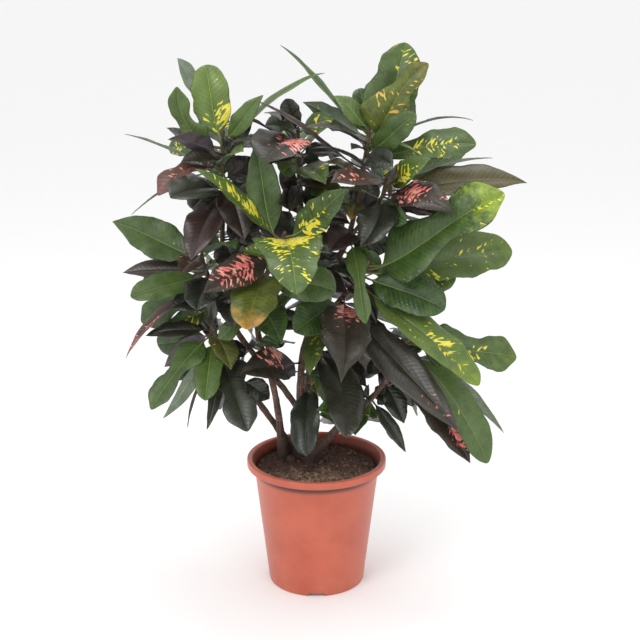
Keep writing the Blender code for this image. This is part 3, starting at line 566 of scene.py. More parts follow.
class Graph:
    """A material's node tree, with one short call for each kind of node."""

    def __init__(self, name):
        self.material = bpy.data.materials.new(name)
        self.material.use_nodes = True
        self.tree = self.material.node_tree
        self.shader = self.tree.nodes["Principled BSDF"]

    def put(self, socket, value):
        if isinstance(value, Value):
            self.tree.links.new(value.socket, socket)
        else:
            socket.default_value = value

    def node(self, kind, given, output=0, **settings):
        """A new node with its inputs set by name or by number, and one of its outputs."""
        made = self.tree.nodes.new(kind)
        for key, value in settings.items():
            setattr(made, key, value)
        for key, value in given.items():
            self.put(made.inputs[key], value)
        return Value(self, made.outputs[output])

    def math(self, operation, *values):
        return self.node("ShaderNodeMath", dict(enumerate(values)), operation=operation)

    def smooth(self, value, low, high):
        given = dict(enumerate((value, low, high, 0.0, 1.0)))
        return self.node("ShaderNodeMapRange", given, interpolation_type="SMOOTHSTEP")

    def mix(self, factor, a, b, blend="MIX"):
        return self.node("ShaderNodeMix", {0: factor, 6: a, 7: b}, 2, data_type="RGBA",
                         blend_type=blend)

    def shaded(self, colour, light):
        return self.mix(1.0, colour, self.combine(light, light, light), "MULTIPLY")

    def combine(self, x, y, z):
        return self.node("ShaderNodeCombineXYZ", {0: x, 1: y, 2: z})

    def separate(self, vector):
        x = self.node("ShaderNodeSeparateXYZ", {0: vector})
        return [Value(self, socket) for socket in x.socket.node.outputs]

    def attribute(self, name):
        return self.separate(self.node("ShaderNodeAttribute", {}, "Vector", attribute_name=name))

    def position(self):
        return self.node("ShaderNodeTexCoord", {}, "Object")

    def noise(self, vector, scale, detail=3.0, roughness=0.5):
        given = {"Vector": vector, "Scale": scale, "Detail": detail, "Roughness": roughness}
        return self.node("ShaderNodeTexNoise", given, "Fac")

    def cells(self, vector, scale, feature="F1"):
        return self.node("ShaderNodeTexVoronoi", {"Vector": vector, "Scale": scale}, "Distance",
                         feature=feature)

    def bump(self, height, strength, distance):
        return self.node("ShaderNodeBump", {"Height": height, "Strength": strength,
                                            "Distance": distance})

    def out(self, **values):
        for key, value in values.items():
            self.put(self.shader.inputs[key.replace("_", " ")], value)
        return self.material


# ---- leaf materials
def leaf_material(name, palette):
    """Leaf skin: islands of colour strung along the side veins, and a paler matt underside."""
    g = Graph(name)
    x, y, side = g.attribute("leaf_pos")
    v, u = g.attribute("leaf_place")[:2]
    seed, blotch, tone = g.attribute("leaf_traits")
    zone_v, zone_u, zone = g.attribute("leaf_zone")
    glow = g.attribute("leaf_tip")[0]
    off = seed * 13.7
    aside = abs(x)
    right = g.math("GREATER_THAN", x, 0.0)
    flat = g.combine(x, y, off)
    wander = (g.noise(flat, 1.3, 2.0) - 0.5) * 0.35
    vein_line = y - aside * VEIN_LEAN
    phase = (vein_line + wander) / (VEIN_SPACING * 100) + right * 0.5
    near = abs(g.math("FRACT", phase) - 0.5)
    vein = g.smooth(near, 0.43, 0.5) * g.smooth(abs(v), 1.0, 0.82)
    rib_width = u * -0.09 + 0.13
    rib = g.smooth(aside, rib_width, rib_width * 0.35)
    stalk = g.smooth(y, 0.1, -0.5)

    sideways = right * 3.1 + off
    broad = g.noise(g.combine(vein_line * 0.35, aside * 0.35, sideways), 1.0, 1.0, 0.5)
    islands = g.noise(g.combine(vein_line * 2.2, aside * 0.95, sideways), 1.0, 1.5, 0.45)
    reach = g.math("POWER", v - zone_v, 2.0) * 1.1 + g.math("POWER", u - zone_u, 2.0) * 14.0
    heap = g.math("EXPONENT", reach * -1.0) * zone
    cluster = (broad - 0.5) * 1.9 + blotch + heap
    limit = g.math("MINIMUM", cluster, 1.3) * -0.33 + 0.812
    mask = g.smooth(islands, limit, limit + 0.022)
    halo = g.smooth(islands, limit - 0.08, limit + 0.01) * g.smooth(cluster, 0.1, 0.8)

    mottled = g.noise(flat, 0.8, 4.0, 0.6)
    body = g.mix(g.smooth(mottled, 0.3, 0.7), palette["deep"], palette["light"])
    body = g.mix(tone, body, palette["other"])
    body = g.mix(g.smooth(near, 0.05, 0.4) * 0.26, body, palette["light"])
    cloud = g.noise(g.combine(x, y, off + 5.0), 0.35, 2.0, 0.5)
    body = g.shaded(body, cloud * 0.9 + 0.55)
    body = g.mix(halo * 0.40, body, palette["halo_colour"])
    spots = g.mix(g.smooth(g.noise(flat, 1.1, 2.0), 0.35, 0.65), palette["blotch"],
                  palette["blotch_2"])
    body = g.mix(mask, body, spots)
    body = g.mix(vein * palette.get("vein", 0.25), body, palette["rib"])
    body = g.mix(rib * palette.get("rib_share", 0.7), body, palette["rib"])
    fray = (mottled - 0.5) * 0.6 + u
    body = g.mix(g.smooth(fray, 0.70, 1.02) * glow, body, palette["tip"])
    body = g.mix(stalk, body, palette["stalk"])
    fine = g.noise(flat, 9.0, 3.0, 0.6)
    body = g.shaded(body, fine * 0.30 + 0.85)

    below = g.mix(g.smooth(mottled, 0.35, 0.7), palette["under"], palette["under_2"])
    below = g.mix(mask * 0.35, below, palette["blotch"])
    below = g.mix(vein * 0.30, below, palette["under_vein"])
    below = g.mix(rib * 0.6, below, palette["under_vein"])
    below = g.mix(stalk, below, palette["stalk"])
    is_under = g.math("LESS_THAN", side, 0.0)
    colour = g.mix(is_under, body, below)

    net = g.smooth(g.cells(flat, 4.5, "DISTANCE_TO_EDGE"), 0.0, 0.12)
    height = vein * (is_under * 2.0 - 1.0) + net * 0.12 + fine * 0.15
    rough = fine * 0.16 + palette.get("rough", 0.27) + is_under * 0.25
    return g.out(Base_Color=colour, Roughness=rough, Normal=g.bump(height, 0.5, 0.0006),
                 Specular_IOR_Level=palette.get("gloss", 0.5))


# colours of each colouring
PALETTES = {
    "green": dict(
        deep=rgb(32, 52, 24), light=rgb(60, 86, 36), other=rgb(104, 124, 58),
        halo_colour=rgb(110, 138, 48), blotch=rgb(212, 206, 62), blotch_2=rgb(176, 190, 66),
        rib=rgb(122, 148, 80), under=rgb(116, 128, 108), under_2=rgb(94, 110, 86),
        under_vein=rgb(152, 160, 136), stalk=rgb(92, 98, 54), tip=rgb(160, 188, 50)),
    "blotched_yellow": dict(
        deep=rgb(32, 52, 24), light=rgb(60, 86, 36), other=rgb(104, 126, 50),
        halo_colour=rgb(138, 156, 40), blotch=rgb(228, 208, 36), blotch_2=rgb(226, 218, 92),
        rib=rgb(132, 150, 70), under=rgb(124, 134, 98), under_2=rgb(98, 114, 80),
        under_vein=rgb(160, 164, 122), stalk=rgb(106, 100, 56), tip=rgb(176, 202, 44)),
    "dark": dict(
        deep=rgb(25, 31, 24), light=rgb(46, 53, 36), other=rgb(56, 33, 32),
        halo_colour=rgb(60, 34, 34), blotch=rgb(206, 80, 88), blotch_2=rgb(222, 122, 118),
        rib=rgb(54, 52, 42), under=rgb(98, 88, 94), under_2=rgb(74, 66, 70),
        under_vein=rgb(116, 102, 106), stalk=rgb(70, 44, 40), tip=rgb(74, 34, 36), rough=0.22,
        vein=0.14, rib_share=0.5, gloss=0.6),
    "blotched_pink": dict(
        deep=rgb(28, 25, 20), light=rgb(48, 46, 32), other=rgb(96, 66, 54),
        halo_colour=rgb(104, 42, 42), blotch=rgb(222, 104, 104), blotch_2=rgb(234, 164, 144),
        rib=rgb(92, 58, 52), under=rgb(120, 100, 104), under_2=rgb(92, 76, 78),
        under_vein=rgb(150, 118, 118), stalk=rgb(92, 52, 46), tip=rgb(190, 120, 128), rough=0.26,
        vein=0.12, rib_share=0.4, gloss=0.45),
    "olive": dict(
        deep=rgb(62, 76, 26), light=rgb(96, 108, 38), other=rgb(72, 58, 44),
        halo_colour=rgb(132, 128, 48), blotch=rgb(214, 166, 76), blotch_2=rgb(214, 194, 84),
        rib=rgb(144, 132, 66), under=rgb(128, 116, 104), under_2=rgb(104, 92, 82),
        under_vein=rgb(160, 140, 116), stalk=rgb(104, 84, 52), tip=rgb(196, 134, 48)),
}

# ---- camera, light, floor
CAMERA = Vector((0.006, -2.0, 1.037))
CAMERA_DIP = 15.83
FLOOR_REACH = 60.0
# name, place, size, power
LIGHTS = [
    ("key", (-1.2, -1.8, 2.4), 1.2, 24.0),
    ("front_fill", (1.0, -2.2, 1.4), 1.2, 7.0),
    ("top", (0.2, 0.3, 2.3), 1.0, 10.0),
]
LIT_POINT = Vector((0.0, 0.0, 0.5))


def build_stage():
    bpy.context.scene.view_settings.view_transform = "Standard"
    camera_data = bpy.data.cameras.new("camera")
    camera_data.lens = 69.7
    camera_data.sensor_width = 36.0
    camera_data.clip_end = 200.0
    camera = bpy.data.objects.new("camera", camera_data)
    bpy.context.scene.collection.objects.link(camera)
    camera.location = CAMERA
    camera.rotation_euler = (math.radians(90.0 - CAMERA_DIP), 0.0, 0.0)
    bpy.context.scene.camera = camera

    world = bpy.data.worlds.new("studio")
    bpy.context.scene.world = world
    world.use_nodes = True
    background = world.node_tree.nodes["Background"]
    background.inputs["Color"].default_value = (1.0, 1.0, 1.0, 1.0)
    background.inputs["Strength"].default_value = 0.97
    for name, place, size, power in LIGHTS:
        data = bpy.data.lights.new(name, "AREA")
        data.shape = "SQUARE"
        data.size = size
        data.energy = power
        light = bpy.data.objects.new(name, data)
        bpy.context.scene.collection.objects.link(light)
        light.location = place
        aim = LIT_POINT - Vector(place)
        light.rotation_euler = aim.to_track_quat("-Z", "Y").to_euler()

    g = Graph("studio_floor")
    grain = g.noise(g.position(), 3.0, 2.0)
    tint = g.mix(grain, (0.945, 0.945, 0.945, 1.0), (0.955, 0.955, 0.955, 1.0))
    material = g.out(Base_Color=tint, Roughness=0.95, Specular_IOR_Level=0.2)
    corners = [(x * FLOOR_REACH, y * FLOOR_REACH, 0) for x, y in ((-1, -1), (1, -1), (1, 1), (-1, 1))]
    floor = new_piece("floor", corners, [(0, 1, 2, 3)], material, False)


# ---- pot
POT_HEIGHT = 0.225
RIM_RADIUS = 0.120
RIM_BAND = 0.012
BODY_TOP_RADIUS = 0.108
LEDGE_RADIUS = 0.1125
BASE_RADIUS = 0.083
WALL = 0.002
FLOOR_TOP = 0.0095
FLOOR_UNDERSIDE = 0.007
NOTCH_WIDTH = 0.031
NOTCH_HEIGHT = 0.0055
DRAIN_RADIUS = 0.005
DRAIN_CIRCLE = 0.058
SOIL_TOP = 0.204
SOIL_DOME = 0.004
POT_SEGMENTS = 180
HOLE_SEGMENTS = 32
TOOL_RINGS = 0.0011


def inner_radius(height):
    share = height / (POT_HEIGHT - RIM_BAND)
    return BASE_RADIUS + (BODY_TOP_RADIUS - BASE_RADIUS) * share - WALL


def rounded(profile):
    """A profile of (radius, height, fillet) corners with each fillet as a short curve."""
    line = []
    for number, (r, z, fillet) in enumerate(profile):
        corner = np.array((r, z))
        if fillet == 0.0 or number in (0, len(profile) - 1):
            line.append(corner)
            continue
        before = np.array(profile[number - 1][:2]) - corner
        after = np.array(profile[number + 1][:2]) - corner
        one = corner + unit(before) * min(fillet, np.linalg.norm(before) * 0.48)
        two = corner + unit(after) * min(fillet, np.linalg.norm(after) * 0.48)
        for t in np.linspace(0.0, 1.0, 5):
            line.append(one * (1 - t) ** 2 + corner * 2 * t * (1 - t) + two * t * t)
    return line


def revolved(name, line, segments, material):
    """A closed turned body; the first and last points of the line lie on the axis."""
    verts = []
    rows = []
    for r, z in line:
        if r < 1e-9:
            rows.append([len(verts)])
            verts.append((0.0, 0.0, z))
            continue
        rows.append(list(range(len(verts), len(verts) + segments)))
        for step in range(segments):
            angle = 2 * math.pi * (step + 0.5) / segments
            verts.append((r * math.cos(angle), r * math.sin(angle), z))
    faces = []
    for low, high in zip(rows, rows[1:]):
        for step in range(segments):
            after = (step + 1) % segments
            if len(low) == 1:
                faces.append((low[0], high[after], high[step]))
            elif len(high) == 1:
                faces.append((low[step], low[after], high[0]))
            else:
                faces.append((low[step], low[after], high[after], high[step]))
    return new_piece(name, verts, faces, material)


def applied(obj):
    """The object with its modifiers made part of its mesh."""
    graph = bpy.context.evaluated_depsgraph_get()
    mesh = bpy.data.meshes.new_from_object(obj.evaluated_get(graph))
    obj.modifiers.clear()
    obj.data = mesh
    return obj


def pot_material():
    """Moulded polypropylene: satin, faintly mottled, scuffed at the rim and dusty near the foot."""
    g = Graph("moulded_terracotta_plastic")
    place = g.position()
    x, y, z = g.separate(place)
    clouds = g.noise(place, 14.0, 4.0, 0.6)
    colour = g.mix(g.smooth(clouds, 0.3, 0.7), rgb(180, 86, 64), rgb(194, 98, 74))
    scuff = g.smooth(g.noise(place, 60.0, 5.0, 0.7), 0.56, 0.70)
    at_rim = g.smooth(z, POT_HEIGHT - 0.004, POT_HEIGHT) * scuff
    colour = g.mix(at_rim * 0.5, colour, rgb(214, 150, 128))
    dust = g.smooth(z, 0.05, 0.0) * g.smooth(clouds, 0.4, 0.7)
    colour = g.mix(dust * 0.25, colour, rgb(184, 128, 104))
    radius = g.math("SQRT", x * x + y * y)
    # Painted shade: the inner wall above the soil is darkened all over, most at the soil line, where it
    # also stands for soil smeared on the wall.
    inside = g.smooth(radius, LEDGE_RADIUS, LEDGE_RADIUS - 0.004) * g.smooth(z, 0.196, 0.206)
    soil_line_smear_and_shade = g.smooth(g.noise(place, 90.0, 4.0, 0.7) * 0.016 + z, 0.226, 0.212)
    colour = g.mix(inside * (soil_line_smear_and_shade * 0.45 + 0.50), colour, rgb(66, 42, 36))
    fine = g.noise(place, 900.0, 2.0, 0.5)
    rough = clouds * 0.16 + 0.30 + at_rim * 0.2
    rings = g.math("SINE", z * (2 * math.pi / TOOL_RINGS))
    height = clouds + fine * 0.35 + rings * 0.06
    return g.out(Base_Color=colour, Roughness=rough, Normal=g.bump(height, 0.25, 0.0004))


def cutter_prism(outline, low, high, turn, upright):
    """A closed prism to cut with, over an outline in x and z, or in x and y where it is upright."""
    count = len(outline)
    if upright:
        corners = [(a, b, end) for end in (low, high) for a, b in outline]
    else:
        corners = [(a, end, b) for end in (low, high) for a, b in outline]
    sides = [(k, (k + 1) % count, (k + 1) % count + count, k + count) for k in range(count)]
    sides += [tuple(reversed(range(count))), tuple(range(count, 2 * count))]
    cutter = new_piece("cutter", [turn @ Vector(c) for c in corners], sides, None, False)
    shape = bmesh.new()
    shape.from_mesh(cutter.data)
    bmesh.ops.recalc_face_normals(shape, faces=shape.faces)
    shape.to_mesh(cutter.data)
    shape.free()
    return cutter


def build_pot():
    band_foot = POT_HEIGHT - RIM_BAND
    profile = [
        (0.0, FLOOR_UNDERSIDE, 0.0),
        (BASE_RADIUS - 0.0085, FLOOR_UNDERSIDE, 0.001),
        (BASE_RADIUS - 0.0065, 0.0, 0.0006),
        (BASE_RADIUS, 0.0, 0.0018),
        (BODY_TOP_RADIUS, band_foot, 0.0),
        (LEDGE_RADIUS, band_foot + 0.0085, 0.0006),
        (RIM_RADIUS - 0.0022, band_foot + 0.0085, 0.0006),
        (RIM_RADIUS - 0.0020, band_foot, 0.0004),
        (RIM_RADIUS, band_foot, 0.0007),
        (RIM_RADIUS, POT_HEIGHT, 0.0024),
        (LEDGE_RADIUS - 0.0010, POT_HEIGHT, 0.0030),
        (inner_radius(band_foot), band_foot, 0.004),
        (inner_radius(FLOOR_TOP + 0.0030), FLOOR_TOP + 0.0030, 0.0),
        (inner_radius(FLOOR_TOP) - 0.0030, FLOOR_TOP, 0.0),
        (0.0, FLOOR_TOP, 0.0),
    ]
    pot = revolved("pot_shell", rounded(profile), POT_SEGMENTS, pot_material())
    half = NOTCH_WIDTH / 2
    round_off = 0.003
    spring = NOTCH_HEIGHT - round_off
    arch = [(-half, -0.002), (half, -0.002), (half, spring)]
    arch += [(half - round_off + round_off * math.cos(a), spring + round_off * math.sin(a))
             for a in (0.5, 1.0, math.pi / 2)]
    arch += [(-x, z) for x, z in reversed(arch[2:])]
    angles = [2 * math.pi * k / HOLE_SEGMENTS for k in range(HOLE_SEGMENTS)]
    circle = [(DRAIN_RADIUS * math.cos(a), DRAIN_RADIUS * math.sin(a) - DRAIN_CIRCLE) for a in angles]
    cutters = []
    for quarter in range(4):
        turn = Matrix.Rotation(math.radians(90.0 * quarter), 4, "Z")
        cutters.append(cutter_prism(arch, -0.095, -0.068, turn, False))
        cutters.append(cutter_prism(circle, -0.001, 0.02, turn, True))
    for cutter in cutters:
        cut = pot.modifiers.new("cut", "BOOLEAN")
        cut.object = cutter
        cut.solver = "EXACT"
    applied(pot)
    for cutter in cutters:
        bpy.data.objects.remove(cutter)
    pot.data.shade_smooth()
    pot.data.set_sharp_from_angle(angle=math.radians(35.0))
    finish_piece(pot, "pot_plastic", "pot")


# ---- soil
CRUMBS = 900


def soil_height(x, y):
    r = math.hypot(x, y)
    dome = SOIL_DOME * (0.35 + 0.65 * math.cos(min(r / 0.10, 1.0) * math.pi / 2))
    place = Vector((x, y, 0.0))
    lumps = noise.noise(place * 28.0) * 0.0026 + noise.noise(place * 70.0) * 0.0016
    grains = noise.noise(place * 240.0) * 0.0009 + noise.noise(place * 520.0) * 0.0005
    return SOIL_TOP + dome + lumps + grains - 0.001


def soil_material(name, crumbs):
    """Damp peat with fibres and bits of bark, painted a paler brown at the front as painted light and
    darker at the back as painted shade.
    """
    g = Graph(name)
    place = g.position()
    y = g.separate(place)[1]
    grain = g.noise(place, 420.0, 4.0, 0.65)
    lumps = g.noise(place, 60.0, 4.0, 0.6)
    # Painted light and shade: the soil is painted paler towards the front and darker towards the back.
    painted_light_at_front = g.smooth(g.noise(place, 22.0, 3.0, 0.6) * 0.09 - y, 0.035, 0.125)
    dark = g.mix(g.smooth(grain, 0.35, 0.65), rgb(50, 34, 30), rgb(98, 70, 60))
    pale = g.mix(g.smooth(grain, 0.35, 0.65), rgb(112, 84, 68), rgb(186, 158, 132))
    colour = g.mix(painted_light_at_front * g.smooth(lumps, 0.35, 0.6), dark, pale)
    if crumbs:
        # The crumb attribute carries each crumb's own tone together with painted light towards the
        # front.
        chip = g.mix(g.attribute("crumb")[0], rgb(60, 42, 35), rgb(206, 176, 144))
        colour = g.mix(0.75, colour, chip)
    specks = g.smooth(g.cells(place, 330.0), 0.22, 0.12)
    colour = g.mix(specks * 0.35, colour, rgb(170, 140, 110))
    return g.out(Base_Color=colour, Roughness=grain * 0.15 + 0.80,
                 Normal=g.bump(lumps * 1.5 + grain, 0.9, 0.0012), Specular_IOR_Level=0.3)


def build_soil():
    edge = inner_radius(SOIL_TOP) - 0.0004
    line = [(0.0, FLOOR_TOP + 0.0006), (inner_radius(FLOOR_TOP) - 0.004, FLOOR_TOP + 0.0006),
            (inner_radius(0.05) - 0.0006, 0.05), (inner_radius(0.16) - 0.0006, 0.16)]
    line.append((edge, SOIL_TOP - 0.002))
    line += [(edge * k / 80, SOIL_TOP) for k in range(80, -1, -1)]
    soil = revolved("soil_body", line, 240, soil_material("damp_peat", False))
    for vertex in soil.data.vertices:
        if vertex.co.z > SOIL_TOP - 0.0001:
            vertex.co.z = soil_height(vertex.co.x, vertex.co.y)
    finish_piece(soil, "potting_soil", "soil")

    rng = random.Random(41)
    shape = bmesh.new()
    bmesh.ops.create_icosphere(shape, subdivisions=2, radius=1.0)
    template = [v.co.copy() for v in shape.verts]
    triangles = [tuple(v.index for v in f.verts) for f in shape.faces]
    shape.free()
    verts = []
    faces = []
    crumb_tone_and_front_light = []
    for number in range(CRUMBS):
        r = edge * math.sqrt(rng.random()) * 0.97
        turn = rng.uniform(0, 2 * math.pi)
        x = r * math.cos(turn)
        y = r * math.sin(turn)
        front = max(0.0, -y / edge)
        size = rng.choice((0.0007, 0.0010, 0.0014, 0.0019, 0.0026)) * rng.uniform(0.8, 1.3)
        stretch = Vector((rng.uniform(1.0, 1.6), rng.uniform(0.7, 1.1), rng.uniform(0.5, 0.9)))
        if rng.random() < 0.14:
            stretch = Vector((rng.uniform(2.2, 3.6), rng.uniform(0.6, 1.0), rng.uniform(0.25, 0.5)))
            size *= 0.9
        spin = Matrix.Rotation(rng.uniform(0, 6.28), 3, "Z")
        spin = spin @ Matrix.Rotation(rng.uniform(-0.5, 0.5), 3, "X")
        spin = spin @ Matrix.Rotation(rng.uniform(-0.35, 0.35), 3, "Y")
        shift = Vector((number * 1.7, 0.0, 0.0))
        base = len(verts)
        floor = Vector((x, y, soil_height(x, y) + size * stretch.z * 0.25))
        for co in template:
            rough = 1.0 + 0.38 * noise.noise(co * 1.6 + shift)
            point = spin @ Vector(co[k] * stretch[k] * size * rough for k in range(3))
            verts.append(floor + point)
        faces += [tuple(base + k for k in corner) for corner in triangles]
        # Each crumb's lightness is its own random tone, painted lighter towards the front as painted
        # light.
        light = rng.random() ** 1.6 * (0.35 + 0.65 * front)
        crumb_tone_and_front_light += [(light, 0.0, 0.0)] * len(template)
    crumbs = new_piece("soil_crumbs", verts, faces, soil_material("peat_crumbs", True))
    add_layer(crumbs, "crumb", crumb_tone_and_front_light)
    finish_piece(crumbs, "potting_soil")


# ---- stems
BARK_VOXEL = 0.0011
BARK_THICKNESS = 0.0009
# how much a stem widens at the soil, and over what height
FLARE = 0.0040
STUB_FLARE = 0.0006
FLARE_HEIGHT = 0.075


def bark_material():
    """Thin grey-brown bark, ringed by leaf scars, reddish below and green towards the tips."""
    g = Graph("thin_bark")
    place = g.position()
    x, y, z = g.separate(place)
    long_grain = g.noise(g.combine(x * 260.0, y * 260.0, z * 28.0), 1.0, 4.0, 0.6)
    clouds = g.noise(place, 36.0, 4.0, 0.65)
    rings = g.noise(g.combine(x * 9.0, y * 9.0, z * 150.0), 1.0, 3.0, 0.55)
    ring = g.smooth(rings, 0.60, 0.68)
    colour = g.mix(g.smooth(clouds, 0.32, 0.68), rgb(70, 47, 41), rgb(112, 88, 77))
    colour = g.mix(g.smooth(long_grain, 0.45, 0.7) * 0.6, colour, rgb(140, 116, 102))
    colour = g.mix(ring * 0.5, colour, rgb(156, 126, 106))
    colour = g.mix(g.smooth(z, 0.30, 0.205) * 0.7, colour, rgb(48, 35, 31))
    young = g.smooth(clouds * 0.12 + z, 0.60, 0.78)
    colour = g.mix(young * 0.65, colour, rgb(70, 66, 38))
    pores = g.smooth(g.cells(place, 420.0), 0.20, 0.10)
    colour = g.mix(pores * 0.4, colour, rgb(178, 158, 136))
    height = clouds + long_grain + ring * 0.7
    return g.out(Base_Color=colour, Roughness=long_grain * 0.2 + 0.58,
                 Normal=g.bump(height, 0.8, 0.0009), Specular_IOR_Level=0.35)


def build_stems():
    bark = bark_material()
    names = [name for name in sorted(frame["nodes"]) if name.startswith("stem_")]
    for name in names:
        piece = bpy.data.objects.new(name + "_bark", frame["nodes"][name].data.copy())
        bpy.context.scene.collection.objects.link(piece)
        piece.data.materials.clear()
        remesh = piece.modifiers.new("remesh", "REMESH")
        remesh.mode = "VOXEL"
        remesh.voxel_size = BARK_VOXEL
        soften = piece.modifiers.new("soften", "SMOOTH")
        soften.iterations = 8
        soften.factor = 0.5
        applied(piece)
        mesh = piece.data
        count = len(mesh.vertices)
        places = np.empty(count * 3)
        mesh.vertices.foreach_get("co", places)
        places = places.reshape(-1, 3)
        normals = np.empty(count * 3, np.float32)
        mesh.vertex_normals.foreach_get("vector", normals)
        normals = normals.reshape(-1, 3)
        push = np.empty(count)
        for i, (x, y, z) in enumerate(places):
            ridge = noise.noise(Vector((x * 190, y * 190, z * 22)))
            knot = noise.noise(Vector((x * 14, y * 14, z * 62)))
            lump = noise.noise(Vector((x * 55, y * 55, z * 30)))
            push[i] = BARK_THICKNESS + ridge * 0.00035 + lump * 0.0007
            push[i] += max(knot - 0.12, 0.0) * 0.0022
        foot = np.clip(1.0 - (places[:, 2] - SOIL_TOP - 0.002) / FLARE_HEIGHT, 0.0, 1.0) ** 2
        push += foot * (STUB_FLARE if name == "stem_cut_stub" else FLARE)
        places += normals * push[:, None]
        mesh.vertices.foreach_set("co", places.astype(np.float32).ravel())
        mesh.materials.append(bark)
        mesh.shade_smooth()
        finish_piece(piece, "stem_bark", name)


# ---- where leaves may grow
# Outline of the crown and the places where daylight shows through it, both on the plane y = 0.
CROWN = [(-0.235, 0.785), (-0.205, 0.850), (-0.150, 0.835), (-0.110, 0.805), (-0.060, 0.830),
         (0.000, 0.810), (0.060, 0.830), (0.130, 0.850), (0.175, 0.785), (0.250, 0.780),
         (0.300, 0.720), (0.220, 0.690), (0.215, 0.655), (0.280, 0.665), (0.305, 0.600),
         (0.285, 0.560), (0.215, 0.515), (0.205, 0.480), (0.270, 0.430), (0.275, 0.370),
         (0.255, 0.290), (0.200, 0.275), (0.150, 0.310), (0.135, 0.280), (0.085, 0.290),
         (0.020, 0.280), (-0.020, 0.320), (-0.020, 0.370), (-0.070, 0.385), (-0.105, 0.425),
         (-0.125, 0.370), (-0.120, 0.300), (-0.175, 0.315), (-0.205, 0.345), (-0.265, 0.330),
         (-0.275, 0.380), (-0.290, 0.480), (-0.305, 0.540), (-0.290, 0.600), (-0.215, 0.605),
         (-0.205, 0.640), (-0.215, 0.700), (-0.255, 0.715)]
DAYLIGHT = [(-0.183, 0.790, 0.010), (-0.215, 0.720, 0.010),
            (-0.055, 0.690, 0.008), (-0.025, 0.677, 0.008), (-0.205, 0.622, 0.004),
            (-0.150, 0.627, 0.006), (0.022, 0.777, 0.008), (0.045, 0.765, 0.010),
            (0.066, 0.745, 0.008), (0.115, 0.773, 0.004), (0.108, 0.682, 0.005),
            (0.062, 0.650, 0.005), (0.052, 0.610, 0.009), (0.032, 0.605, 0.004),
            (0.185, 0.663, 0.012), (0.205, 0.662, 0.010), (-0.120, 0.440, 0.010),
            (-0.092, 0.447, 0.005), (-0.028, 0.440, 0.010), (-0.045, 0.408, 0.010),
            (-0.065, 0.362, 0.008), (-0.048, 0.340, 0.013), (-0.110, 0.340, 0.006),
            (-0.050, 0.290, 0.010), (0.000, 0.325, 0.005), (0.085, 0.345, 0.006),
            (0.115, 0.340, 0.006), (0.118, 0.312, 0.006)]
# how much it counts when a leaf hides a point of another leaf, or closes a point of daylight
LEAF_WEIGHT = 1
DAYLIGHT_WEIGHT = 4
# metres between the places that are tried for daylight
GRID = 0.0115
# nearest, best and furthest distance of an inner leaf's middle from its node
SHADE_REACH = (0.035, 0.07, 0.14)


def on_plane(point):
    """Where the line from the camera through a point meets the plane y = 0."""
    share = -CAMERA.y / (point[1] - CAMERA.y)
    return (CAMERA.x + (point[0] - CAMERA.x) * share, CAMERA.z + (point[2] - CAMERA.z) * share)


def through(x, z, y):
    """The point at depth y that shows at (x, z) on the plane y = 0."""
    share = (y - CAMERA.y) / -CAMERA.y
    return (CAMERA.x + (x - CAMERA.x) * share, y, CAMERA.z + (z - CAMERA.z) * share)


def in_crown(x, z):
    inside = False
    for (x0, z0), (x1, z1) in zip(CROWN, CROWN[1:] + CROWN[:1]):
        if (z0 > z) != (z1 > z) and x < x0 + (x1 - x0) * (z - z0) / (z1 - z0):
            inside = not inside
    return inside


def sight_lines(leaves):
    """Rays from the camera to the given leaves and through daylight: (way, length, weight)."""
    rays = []
    for rings, tip in leaves:
        middles = rings.mean(axis=1)
        for i in range(3, len(middles)):
            for point in (middles[i], rings[i][0] * 0.7 + middles[i] * 0.3,
                          rings[i][2] * 0.7 + middles[i] * 0.3):
                away = Vector(point) - CAMERA
                rays.append((away.normalized(), away.length - 0.004, LEAF_WEIGHT))
    for x, z, r in DAYLIGHT:
        for k in range(7):
            reach = r if k else 0.0
            point = Vector((x + reach * math.cos(k), 0.0, z + reach * math.sin(k)))
            away = point - CAMERA
            rays.append((away.normalized(), away.length + 1.0, DAYLIGHT_WEIGHT))
    return rays


# shoot, lowest and highest node, leaves, length, width
WHORLS = [
    ("upper_left", 0.515, 0.780, 18, 0.150, 0.052), ("upper_middle", 0.560, 0.782, 16, 0.140, 0.050),
    ("centre", 0.480, 0.785, 20, 0.150, 0.052), ("upper_right", 0.625, 0.708, 8, 0.130, 0.045),
    ("middle_left", 0.500, 0.592, 9, 0.130, 0.046), ("front_left", 0.440, 0.625, 12, 0.130, 0.046),
    ("low_left", 0.360, 0.455, 9, 0.125, 0.044), ("right", 0.400, 0.572, 13, 0.150, 0.052),
    ("low_right", 0.300, 0.445, 11, 0.125, 0.044),
]
GOLDEN_ANGLE = 137.5
LEAVES_IN_A_PIECE = 16
MIXTURE = ["dark", "green", "green", "blotched_yellow", "dark", "green", "blotched_pink", "dark",
           "olive", "green"]
SHADE_MIXTURE = ["dark", "dark", "green", "dark", "green", "blotched_yellow"]


